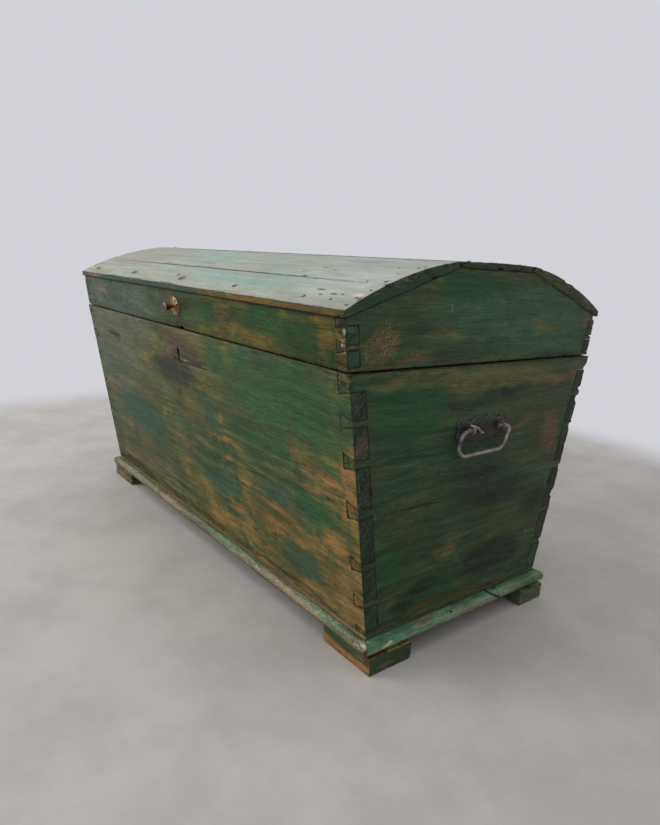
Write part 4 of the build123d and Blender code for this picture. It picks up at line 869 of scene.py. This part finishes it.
longBoard = {"ends": "jointEnd", "bare": "bareLong"}
boxEnd = {"paint": "paintEnd", "ends": "jointFront", "bare": "bareCross"}
lidEnd = dict(boxEnd, ends="jointLid")
topBoard = {"paint": "paintTop", "ends": "slopeEnd", "bare": "bareLong"}
floorBoard = {"outer": (0, 0, 1), "paint": "bareLong", "ends": "endGrainSide", "bare": "bareLong"}
moulding, mouldingEnd = {"paint": "paintMoulding"}, {"paint": "paintMouldingEnd"}
foot = {"paint": "paintFoot", "side": "paintFootEnd"}
boards = {
    "front_board": dict(longBoard, outer=(0, -1, 0), paint="paintFront"),
    "back_board": dict(longBoard, outer=(0, 1, 0), paint="paintBack"),
    "right_end_board": dict(boxEnd, outer=(1, 0, 0)),
    "left_end_board": dict(boxEnd, outer=(-1, 0, 0)),
    "lid_front_rail": dict(longBoard, outer=(0, -1, 0), paint="paintLidFront"),
    "lid_back_rail": dict(longBoard, outer=(0, 1, 0), paint="paintBack"),
    "lid_right_end": dict(lidEnd, outer=(1, 0, 0)),
    "lid_left_end": dict(lidEnd, outer=(-1, 0, 0)),
    "lid_front_slope_board": dict(topBoard, outer=(0, -0.3, 1), nose="paintLidFront"),
    "lid_back_slope_board": dict(topBoard, outer=(0, 0.3, 1), nose="paintBack"),
    "lid_top_board": dict(topBoard, outer=(0, 0, 1)),
    "floor_board_front": floorBoard, "floor_board_middle": floorBoard, "floor_board_back": floorBoard,
    "base_moulding_front": moulding, "base_moulding_back": moulding, "base_moulding_left": mouldingEnd,
    "base_moulding_right_front": mouldingEnd, "base_moulding_right_back": mouldingEnd,
    "foot_front_left": foot, "foot_front_right": foot, "foot_back_left": foot, "foot_back_right": foot,
}


def chip(start, reach, push, stop=None, uneven=0.35):
    # Moves the wood around a place, or along the line between two, by the given push
    return {"from": start, "to": stop or start, "reach": reach, "push": push, "uneven": uneven}


# Chips and cracks
backNotches = [
    chip((564.7, 311.5, 486), 6.0, (-5, -8, 0)), chip((564.0, 304.0, 443), 4.5, (-3, -5, 0)),
    chip((563.8, 300.2, 422), 6.5, (-5, -8, 0)), chip((563.1, 290.4, 367), 5.0, (-3, -6, 0)),
    chip((562.0, 275.2, 281), 4.5, (-3, -5, 0)), chip((561.2, 264.9, 223), 6.5, (-5, -8, 0)),
    chip((559.8, 247.0, 122), 4.5, (-3, -5, 0)),
]
frontCorner = [chip((561, -323, 561), 7.5, (-4, 3, 0)), chip((561, -321, 548), 5, (-3, 2, 0))]
dents = {
    "lid_front_slope_board": [
        chip((-450, -250, 636.5), 2.4, (0, 0, -2.4), (511, -250, 636.5)),
        chip((563, -250, 632), 7, (-6, 0, -1)), chip((563, -175, 656), 6, (-5, 0, -1)),
        chip((563, -300, 611), 7, (-5, 2, -2)), chip((563, -135, 665), 5, (-4, 0, -2)),
    ],
    "lid_top_board": [
        chip((563, -97, 665), 7, (-6, 0, 2), (563, -90, 666)),
        chip((563, 2, 665), 6, (-6, 0, 2), (563, 10, 665)),
        chip((563, 60, 665), 6, (-5, 0, 2)), chip((563, 100, 666), 8, (-6, -1, 2)),
    ],
    "front_board": [chip((-40, -303.5, 438), 2.2, (0, 1.6, 0), (120, -303.5, 437))],
    "lid_front_rail": [
        chip((6, -316.5, 510.6), 4.5, (0, 0.5, 4.0), (34, -316.5, 510.6), 0.8),
        chip((-70, -316.5, 510.6), 2.5, (0, 0.5, 2.0), (-40, -316.5, 510.6), 0.8),
    ] + frontCorner,
    "lid_right_end": frontCorner + [
        chip((561, 324, 585), 6, (-4, -5, 0)), chip((561, 321, 553), 6, (-4, -5, 0)),
    ],
    "right_end_board": backNotches + [chip((564.9, -314, 503), 5, (-3, 4, 0))],
    "back_board": backNotches,
    "base_moulding_front": [
        chip((578, -249, 40), 8, (-4, 4, 1)), chip((556, -249, 46), 4, (0, 2.5, 0), (540, -249, 45)),
    ],
}


keyhole = {"x": -12, "z": 452, "across": 14, "high": 26}
outside = {
    "facing": 0.55,  # how squarely a face looks outwards to count as the painted side
    "endOn": 0.62,  # and along the board to count as its end
    "chipDepth": 2.6,  # deeper than this under the painted side it is a chip or a crack
    "endsFrom": 548, "noseFrom": 300,  # where the ends and the nose begin, from the middle of the chest
    "downward": 0.75, "sideways": 0.6, "upward": 0.6,  # how squarely a face points there
    "flat": 0.8, "slices": 39, "topPercent": 80,  # which faces show how high the painted side lies, and where
}


def outerSide(mesh, outer):
    # How far a place lies under the painted side, so that chips in ends and edges don't count as part of it
    flat = [face for face in mesh.polygons if face.normal.dot(outer) > outside["flat"]]
    if outer.z > 0.5:
        # A board that faces up may slope or curve across, so its height is read in slices
        across = np.array([face.center.y for face in flat])
        height = np.array([face.center.z for face in flat])
        slices = outside["slices"]
        bins = np.linspace(across.min(), across.max(), slices + 1)
        which = np.clip(np.digitize(across, bins) - 1, 0, slices - 1)
        used = [index for index in range(slices) if (which == index).any()]
        middles = [across[which == index].mean() for index in used]
        tops = [np.percentile(height[which == index], outside["topPercent"]) for index in used]
        return lambda place: float(np.interp(place.y, middles, tops)) - place.z
    normal = sum((face.normal * face.area for face in flat), Vector()).normalized()
    top = max(face.center.dot(normal) for face in flat)
    return lambda place: top - place.dot(normal)


def boardFinish(board, normal, centre, depthAt):
    if "outer" not in board:
        if normal.z < -outside["downward"]:
            return "bareLong"
        return board.get("side", board["paint"]) if abs(normal.x) > outside["sideways"] else board["paint"]
    outer = Vector(board["outer"]).normalized()
    lengthwise = 0 if abs(outer.x) < 0.5 else 1
    facing = normal.dot(outer) > outside["facing"]
    if facing and depthAt(centre) <= outside["chipDepth"] * mm:
        return board["paint"]
    besideX, besideZ = abs(centre.x / mm - keyhole["x"]), abs(centre.z / mm - keyhole["z"])
    if board["paint"] == "paintFront" and besideX < keyhole["across"] and besideZ < keyhole["high"]:
        return "endGrainSide"
    if abs(normal[lengthwise]) > outside["endOn"]:
        return board["ends"]
    if "nose" in board and abs(normal.y) > outside["endOn"] and normal.y * outer.y > 0:
        return board["nose"]
    if facing:
        # Sunk, but facing out: a chip in an end or in the nose, or else a crack
        if abs(centre.x) > outside["endsFrom"] * mm:
            return board["ends"]
        return board["nose"] if "nose" in board and abs(centre.y - midY) > outside["noseFrom"] * mm else board["paint"]
    if normal.z > outside["upward"] and not board["paint"].startswith("bare"):
        return "wornRim"
    return board["bare"]


plainWear = {"step": 10, "edgeStep": 0}
slopeWear = {"chew": 6.0, "chewFrom": 0.12, "chewCalm": 0.25}
for count, (name, board) in enumerate(boards.items()):
    wear = dict(boardWear, seed=1.0 + count * 1.7)
    if "outer" not in board:
        wear.update(plainWear)
    if board.get("ends") == "slopeEnd":
        wear.update(slopeWear)
    mesh = shape(frame["nodes"][name], wear, dents.get(name, ()))
    depthAt = outerSide(mesh, Vector(board["outer"]).normalized()) if "outer" in board else None
    dress(mesh, lambda normal, centre: boardFinish(board, normal, centre, depthAt))
    addPiece(name + "Wood", mesh, name)
print("boards:", len(boards))


# Ironwork and brass keep their solids' forms, with hammered faces and rubbed edges

ironWear = dict(boardWear, finish="oldIron", rounding=0.5, step=6, edgeStep=0, edgeBand=3, waves=0.5, waveScale=70,
                chew=1.0, chewScale=160, chewFrom=0.1, chewReach=2.5, smoothAngle=42)
pairedPieces = {
    "handle_plate": {"finish": "plateIron", "rounding": 0.7, "step": 3},
    "handle_bail": {"finish": "bailIron", "waves": 0.7, "step": 0},
    "handle_eyes": {"finish": "bailIron", "rounding": 0.15, "waves": 0.1, "chew": 0.1, "step": 0},
    "hinge_box_strap": {}, "hinge_lid_strap": {},
    "hinge_pin": {"rounding": 0.2, "waves": 0.0, "chew": 0.0, "step": 0},
}
metalPieces = {side + "_" + piece: metal for piece, metal in pairedPieces.items() for side in ("right", "left")}
metalPieces.update({
    "lock_case": {}, "lock_bolt": {"waves": 0.1, "chew": 0.3},
    "lock_spring": {"rounding": 0.1, "waves": 0.0, "chew": 0.0, "step": 0},
    "lid_keeper": {"waves": 0.2, "chew": 0.4},
    "knob": {"finish": "oldBrass", "rounding": 0.3, "step": 0, "waves": 0.25, "chew": 0.3},
    "knob_rosette": {"finish": "oldBrass", "rounding": 0.4, "step": 0, "waves": 0.3, "chew": 0.5},
})

# The right bail has been bent: its loop hangs a little narrower, nearer the front and with rounder corners
bailSettle = {
    "level": 397.0, "start": 4.0, "full": 24.0, "slim": 0.935, "shift": -6.0, "lift": 0.95,
    "corners": [{"y": 66, "z": 348, "reach": 40, "push": (-6.5, 6.0)},
                {"y": -76, "z": 348, "reach": 26, "push": (2.5, 2.5)}],
}
# The wire of its front eye ends in a tail that lies over the plate
eyeTail = {
    "points": [(574.0, -46, 406.5), (578.5, -41, 405.0), (579.5, -34, 402.5), (576.5, -26, 399.5), (572.5, -18, 394.5),
               (570.6, -10, 389.5), (570.2, -4, 388.0)],
    "thick": [1.3, 1.9, 2.2, 2.2, 2.1, 2.7, 1.4], "sides": 10, "steps": 5, "smoothings": 3,
}


def settle(mesh, look):
    points = np.zeros(len(mesh.vertices) * 3, np.float32)
    mesh.vertices.foreach_get("co", points)
    points = points.reshape(-1, 3)
    below = np.clip((look["level"] - points[:, 2] / mm - look["start"]) / (look["full"] - look["start"]), 0, 1)
    below = below * below * (3 - 2 * below)
    bent = midY + (points[:, 1] - midY) * look["slim"] + look["shift"] * mm
    points[:, 1] += (bent - points[:, 1]) * below
    raised = look["level"] * mm - (look["level"] * mm - points[:, 2]) * look["lift"]
    points[:, 2] += (raised - points[:, 2]) * below
    for corner in look["corners"]:
        away = np.hypot(points[:, 1] - midY - corner["y"] * mm, points[:, 2] - corner["z"] * mm)
        near = np.clip(1 - away / (corner["reach"] * mm), 0, 1) ** 1.5
        points[:, 1] += corner["push"][0] * mm * near
        points[:, 2] += corner["push"][1] * mm * near
    mesh.vertices.foreach_set("co", points.ravel())


def addWire(mesh, look):
    # A bent round wire through the given places, closed at both ends
    places = np.array(look["points"]) * mm + (0, midY, 0)
    thick = np.array(look["thick"]) * mm
    index = np.arange(len(places))
    along = np.linspace(0, len(places) - 1, (len(places) - 1) * look["steps"] + 1)
    line = np.stack([np.interp(along, index, places[:, axis]) for axis in range(3)], 1)
    for smoothing in range(look["smoothings"]):
        line[1:-1] = (line[:-2] + 2 * line[1:-1] + line[2:]) / 4
    radius = np.interp(along, index, thick)
    bm = bmesh.new()
    bm.from_mesh(mesh)
    rings = []
    for count, place in enumerate(line):
        ahead = Vector((line[min(count + 1, len(line) - 1)] - line[max(count - 1, 0)]).tolist()).normalized()
        side = ahead.cross(Vector((0, 0, 1))).normalized()
        up = side.cross(ahead)
        turns = (2 * math.pi * step / look["sides"] for step in range(look["sides"]))
        middle, size = Vector(place.tolist()), float(radius[count])
        rings.append([bm.verts.new(middle + (side * math.cos(turn) + up * math.sin(turn)) * size) for turn in turns])
    added = []
    for first, second in zip(rings, rings[1:]):
        for step in range(look["sides"]):
            after = (step + 1) % look["sides"]
            added.append(bm.faces.new((first[step], first[after], second[after], second[step])))
    added.append(bm.faces.new(rings[0][::-1]))
    added.append(bm.faces.new(rings[-1]))
    bmesh.ops.recalc_face_normals(bm, faces=added)
    bmesh.ops.triangulate(bm, faces=added)
    bm.to_mesh(mesh)
    bm.free()


for count, (name, metal) in enumerate(metalPieces.items()):
    wear = {**ironWear, **metal, "seed": 30 + count * 1.3}
    mesh = shape(frame["nodes"][name], wear)
    if name == "right_handle_bail":
        settle(mesh, bailSettle)
    if name == "right_handle_eyes":
        addWire(mesh, eyeTail)
    if name == "knob":
        # The flat end is given a dark, dull brass: painted shade
        dress(mesh, lambda normal, centre: "dullBrass" if normal.y < -0.8 else "oldBrass")
    else:
        mesh.materials.append(finishes[wear["finish"]])
    addPiece(name + "Metal", mesh, name)
print("metal pieces:", len(metalPieces))


# Forged nails, set by Geometry Nodes where the solids have theirs

nailShape = {
    "sides": 9, "sink": 0.075, "headFlat": 0.5, "shankTaper": 0.55, "unevenness": 0.16, "seed": 11,
    "sway": 0.03,  # radians that a head may lean
    "shankStart": 0.98, "shankShare": 0.96,  # shares of the solid nail's length
    "dentScale": 420.0, "edgeDistance": 0.003,
}
# How a solid nail is read: shares of its length and of its head's radius, and depths in metres under its top
nailReading = {
    "endShare": 0.2, "facing": 0.3, "headDepth": 0.005, "rimShare": 0.8, "leastRise": 0.0004,
    "shankFrom": 1.5, "shankDepth": 0.006, "plainShank": 0.4, "widestShank": 0.7,
}
nailNodes = {
    "floor_nails": "nailIron", "foot_nails": "nailIron", "moulding_nails": "nailIron", "lid_nails": "nailIron",
    "left_handle_nails": "oldIron", "right_handle_nails": "oldIron", "hinge_box_nails": "oldIron",
    "hinge_lid_nails": "oldIron", "lock_nails": "oldIron", "keeper_nails": "oldIron",
}


def looseParts(source):
    bm = bmesh.new()
    bm.from_mesh(source.data)
    bmesh.ops.remove_doubles(bm, verts=bm.verts, dist=1e-5)
    bm.normal_update()
    seen, parts = set(), []
    for start in bm.faces:
        if start in seen:
            continue
        seen.add(start)
        stack, part = [start], []
        while stack:
            face = stack.pop()
            part.append(face)
            for edge in face.edges:
                for other in edge.link_faces:
                    if other not in seen:
                        seen.add(other)
                        stack.append(other)
        verts = {vert for face in part for vert in face.verts}
        facets = [(np.array(face.normal), face.calc_area(), np.array(face.calc_center_median())) for face in part]
        parts.append((np.array([vert.co[:] for vert in verts]), facets))
    bm.free()
    return parts


def readNail(points, facets):
    # Its drive direction is its long axis; its head is the wider end and faces where the largest flat faces
    middle = points.mean(0)
    axis = np.linalg.svd(points - middle, full_matrices=False)[2][0]
    along = (points - middle) @ axis
    radius = np.linalg.norm(points - middle - along[:, None] * axis, axis=1)
    span = along.max() - along.min()
    end = span * nailReading["endShare"]
    if radius[along < along.min() + end].max() > radius[along > along.max() - end].max():
        axis = -axis
    flats = {}
    for normal, area, centre in facets:
        if normal @ axis > nailReading["facing"]:
            key = tuple(np.round(normal, 2))
            total, place, facing = flats.get(key, (0.0, np.zeros(3), normal))
            flats[key] = (total + area, place + centre * area, facing)
    area, place, facing = max(flats.values(), key=lambda flat: flat[0])
    top = place / area
    head = math.sqrt(area / math.pi)
    return top, facing, axis, head, span


def nailPoints(name):
    mesh = bpy.data.meshes.new(name + "Points")
    rows = []
    for points, facets in looseParts(frame["nodes"][name]):
        top, facing, axis, head, span = readNail(points, facets)
        offset = points - top
        depth = offset @ facing
        away = np.linalg.norm(offset - depth[:, None] * facing, axis=1)
        nearTop = depth > -nailReading["headDepth"]
        head = away[nearTop].max()
        rim = nearTop & (away > head * nailReading["rimShare"])
        rise = max(-depth[rim].min(), nailReading["leastRise"])
        under = (depth < -rise * nailReading["shankFrom"]) & (depth > -rise - nailReading["shankDepth"])
        shank = away[under].min() if under.any() else head * nailReading["plainShank"]
        shank = min(shank, head * nailReading["widestShank"])
        # Set a little lower, so that the beaten heads stay within the solid ones
        rows.append((top - facing * head * nailShape["sink"], facing, axis, head, rise, shank, span))
    mesh.from_pydata([row[0] for row in rows], [], [])
    for index, (key, kind) in enumerate((("facing", "FLOAT_VECTOR"), ("drive", "FLOAT_VECTOR"), ("headRadius", "FLOAT"),
                                         ("headRise", "FLOAT"), ("shankRadius", "FLOAT"), ("shankLength", "FLOAT"))):
        layer = mesh.attributes.new(key, kind, "POINT")
        values = np.array([row[index + 1] for row in rows], np.float32).ravel()
        layer.data.foreach_set("vector" if kind == "FLOAT_VECTOR" else "value", values)
    return mesh, len(rows)


def buildNailTree():
    tree = bpy.data.node_groups.new("forgedNails", "GeometryNodeTree")
    face = tree.interface
    face.new_socket("Geometry", in_out="INPUT", socket_type="NodeSocketGeometry")
    for label, kind in (("Head Sides", "Int"), ("Head Flat", "Float"), ("Shank Taper", "Float"),
                        ("Unevenness", "Float"), ("Seed", "Int"), ("Finish", "Material")):
        face.new_socket(label, in_out="INPUT", socket_type="NodeSocket" + kind)
    face.new_socket("Geometry", in_out="OUTPUT", socket_type="NodeSocketGeometry")

    def add(kind, sockets=None, **settings):
        node = tree.nodes.new(kind)
        for key, value in settings.items():
            setattr(node, key, value)
        for key, value in (sockets or {}).items():
            if isinstance(value, bpy.types.NodeSocket):
                tree.links.new(value, node.inputs[key])
            else:
                node.inputs[key].default_value = value
        return node

    def stored(key, kind="FLOAT"):
        return add("GeometryNodeInputNamedAttribute", {"Name": key}, data_type=kind).outputs["Attribute"]

    def product(a, b):
        return add("ShaderNodeMath", {0: a, 1: b}, operation="MULTIPLY").outputs[0]

    def scaled(direction, amount):
        return add("ShaderNodeVectorMath", {0: direction, "Scale": amount}, operation="SCALE").outputs[0]

    inputs = add("NodeGroupInput").outputs
    facing, drive = stored("facing", "FLOAT_VECTOR"), stored("drive", "FLOAT_VECTOR")
    head, rise = stored("headRadius"), stored("headRise")
    shank, length = stored("shankRadius"), stored("shankLength")
    points = add("GeometryNodeMeshToPoints", {"Mesh": inputs["Geometry"]}).outputs["Points"]

    # Head: a low faceted cone with its middle hammered flat
    cone = add("GeometryNodeMeshCone", {"Vertices": inputs["Head Sides"], "Side Segments": 2, "Fill Segments": 2,
                                        "Radius Top": inputs["Head Flat"], "Radius Bottom": 1.0, "Depth": 1.0})
    aim = add("FunctionNodeAlignRotationToVector", {"Vector": facing}, axis="Z").outputs[0]
    sway = nailShape["sway"]
    span = {"Min": (-sway, -sway, 0.0), "Max": (sway, sway, 6.28), "Seed": inputs["Seed"]}
    spin = add("FunctionNodeRandomValue", span, data_type="FLOAT_VECTOR")
    spin = [socket for socket in spin.outputs if socket.type == "VECTOR"][0]
    turned = add("FunctionNodeRotateRotation", {"Rotation": aim, "Rotate By": spin}, rotation_space="LOCAL").outputs[0]
    size = add("ShaderNodeCombineXYZ", {"X": head, "Y": head, "Z": rise}).outputs[0]
    under = scaled(facing, product(rise, -1.0))
    seated = add("GeometryNodeSetPosition", {"Geometry": points, "Offset": under}).outputs[0]
    heads = add("GeometryNodeInstanceOnPoints", {"Points": seated, "Instance": cone.outputs["Mesh"], "Rotation": turned,
                                                 "Scale": size}).outputs[0]

    # Shank: four-sided and tapered, driven along its own line
    spike = add("GeometryNodeMeshCone", {"Vertices": 4, "Radius Top": 1.0, "Radius Bottom": inputs["Shank Taper"],
                                         "Depth": 1.0})
    straight = add("FunctionNodeAlignRotationToVector", {"Vector": drive}, axis="Z").outputs[0]
    long = product(length, nailShape["shankShare"])
    thin = add("ShaderNodeCombineXYZ", {"X": shank, "Y": shank, "Z": long}).outputs[0]
    down = scaled(drive, product(length, -nailShape["shankStart"]))
    sunk = add("GeometryNodeSetPosition", {"Geometry": points, "Offset": down}).outputs[0]
    shanks = add("GeometryNodeInstanceOnPoints", {"Points": sunk, "Instance": spike.outputs["Mesh"],
                                                  "Rotation": straight, "Scale": thin}).outputs[0]

    both = add("GeometryNodeJoinGeometry")
    tree.links.new(shanks, both.inputs[0])
    tree.links.new(heads, both.inputs[0])
    solid = add("GeometryNodeRealizeInstances", {"Geometry": both.outputs[0]}).outputs[0]
    place = add("GeometryNodeInputPosition").outputs[0]
    dent = add("ShaderNodeTexNoise", {"Vector": place, "Scale": nailShape["dentScale"], "Detail": 1.0}).outputs["Color"]
    dent = add("ShaderNodeVectorMath", {0: dent, 1: (0.5, 0.5, 0.5)}, operation="SUBTRACT").outputs[0]
    dent = scaled(dent, product(stored("headRadius"), inputs["Unevenness"]))
    beaten = add("GeometryNodeSetPosition", {"Geometry": solid, "Offset": dent}).outputs[0]
    mark = {"Geometry": beaten, "Name": "edgeDistance", "Value": nailShape["edgeDistance"]}
    marked = add("GeometryNodeStoreNamedAttribute", mark, data_type="FLOAT", domain="POINT").outputs[0]
    flat = add("GeometryNodeSetShadeSmooth", {"Geometry": marked, "Shade Smooth": False}).outputs[0]
    done = add("GeometryNodeSetMaterial", {"Geometry": flat, "Material": inputs["Finish"]}).outputs[0]
    output = tree.nodes.new("NodeGroupOutput")
    tree.links.new(done, output.inputs[0])
    return tree


nailTree = buildNailTree()
nailSockets = {item.name: item.identifier for item in nailTree.interface.items_tree if item.in_out == "INPUT"}
nailLabels = {"sides": "Head Sides", "headFlat": "Head Flat", "shankTaper": "Shank Taper",
              "unevenness": "Unevenness", "seed": "Seed"}
nailTotal = 0
for name, finish in nailNodes.items():
    points, count = nailPoints(name)
    holder = bpy.data.objects.new(name + "Points", points)
    modifier = holder.modifiers.new("forgedNails", "NODES")
    modifier.node_group = nailTree
    for key, label in nailLabels.items():
        modifier[nailSockets[label]] = nailShape[key]
    modifier[nailSockets["Finish"]] = finishes[finish]
    scene.collection.objects.link(holder)
    evaluated = holder.evaluated_get(bpy.context.evaluated_depsgraph_get())
    mesh = bpy.data.meshes.new_from_object(evaluated)
    mesh.name = name + "Forged"
    holder.modifiers.remove(modifier)
    bpy.data.objects.remove(holder)
    addPiece(name + "Forged", mesh, name)
    nailTotal += count
print("nails:", nailTotal)


# Floor, background and lights

stageLook = {
    "floorColour": (0.490, 0.462, 0.440), "backColour": (0.640, 0.645, 0.690), "floorSize": 60.0,
    "floorEnd": (1.4, 1.85),  # metres from the middle over which the floor turns into the background
    "cementShade": 0.86,
    "skyStrength": 0.66, "skyColour": (0.97, 0.985, 1.0),
}
lampAim = (0, 0, 0.3)
lampList = {
    "overhead": {"place": (-0.4, -0.6, 4.0), "size": 3.6, "power": 44, "colour": (1.0, 0.99, 0.97)},
    "frontLeft": {"place": (-2.4, -3.4, 2.2), "size": 2.2, "power": 95, "colour": (1.0, 0.985, 0.96)},
}


def seenDirectly(tree):
    path = put(tree, "LightPath").outputs
    seen = calc(tree, "MAXIMUM", path["Is Camera Ray"], path["Is Glossy Ray"])
    return calc(tree, "MAXIMUM", seen, path["Is Transmission Ray"])


def makeFloor(look):
    half = look["floorSize"] / 2
    mesh = bpy.data.meshes.new("floorSheet")
    mesh.from_pydata([(-half, -half, 0), (half, -half, 0), (half, half, 0), (-half, half, 0)], [], [(0, 1, 2, 3)])
    floor = bpy.data.objects.new("floorSheet", mesh)
    scene.collection.objects.link(floor)
    material = bpy.data.materials.new("paleFloor")
    tree = emptyTree(material)
    spot = put(tree, "TexCoord").outputs["Object"]
    away = put(tree, "VectorMath", {0: spot}, operation="LENGTH").outputs["Value"]
    low, high = look["floorEnd"]
    far = ramp(tree, away, low, high)
    cement = mixColour(tree, ramp(tree, cloudy(tree, spot, 3.0, 8.0, 0.68), 0.38, 0.62), look["floorColour"],
                       tuple(look["cementShade"] * part for part in look["floorColour"]))
    ground = put(tree, "BsdfDiffuse", {"Color": cement}).outputs[0]
    glow = put(tree, "Emission", {"Color": (*look["backColour"], 1), "Strength": 1.0}).outputs[0]
    plain = put(tree, "BsdfDiffuse", {"Color": (*look["floorColour"], 1)}).outputs[0]
    horizon = put(tree, "MixShader", {0: seenDirectly(tree), 1: plain, 2: glow}).outputs[0]
    surface = put(tree, "MixShader", {0: far, 1: ground, 2: horizon}).outputs[0]
    put(tree, "OutputMaterial", {"Surface": surface})
    mesh.materials.append(material)


def makeSky(look):
    world = bpy.data.worlds.new("studioSky")
    tree = emptyTree(world)
    lit = put(tree, "Background", {"Color": (*look["skyColour"], 1), "Strength": look["skyStrength"]}).outputs[0]
    shown = put(tree, "Background", {"Color": (*look["backColour"], 1), "Strength": 1.0}).outputs[0]
    put(tree, "OutputWorld", {"Surface": put(tree, "MixShader", {0: seenDirectly(tree), 1: lit, 2: shown}).outputs[0]})
    scene.world = world


def makeLamp(name, look):
    data = bpy.data.lights.new(name, "AREA")
    data.energy, data.color, data.size = look["power"], look["colour"], look["size"]
    lamp = bpy.data.objects.new(name, data)
    place = Vector(look["place"])
    turn = (place - Vector(lampAim)).to_track_quat("Z", "Y").to_matrix().to_4x4()
    lamp.matrix_world = Matrix.Translation(place) @ turn
    scene.collection.objects.link(lamp)


makeFloor(stageLook)
makeSky(stageLook)
for name, look in lampList.items():
    makeLamp(name, look)
scene.view_settings.view_transform = "Standard"
print("stage: floor, sky and", len(lampList), "lamps")
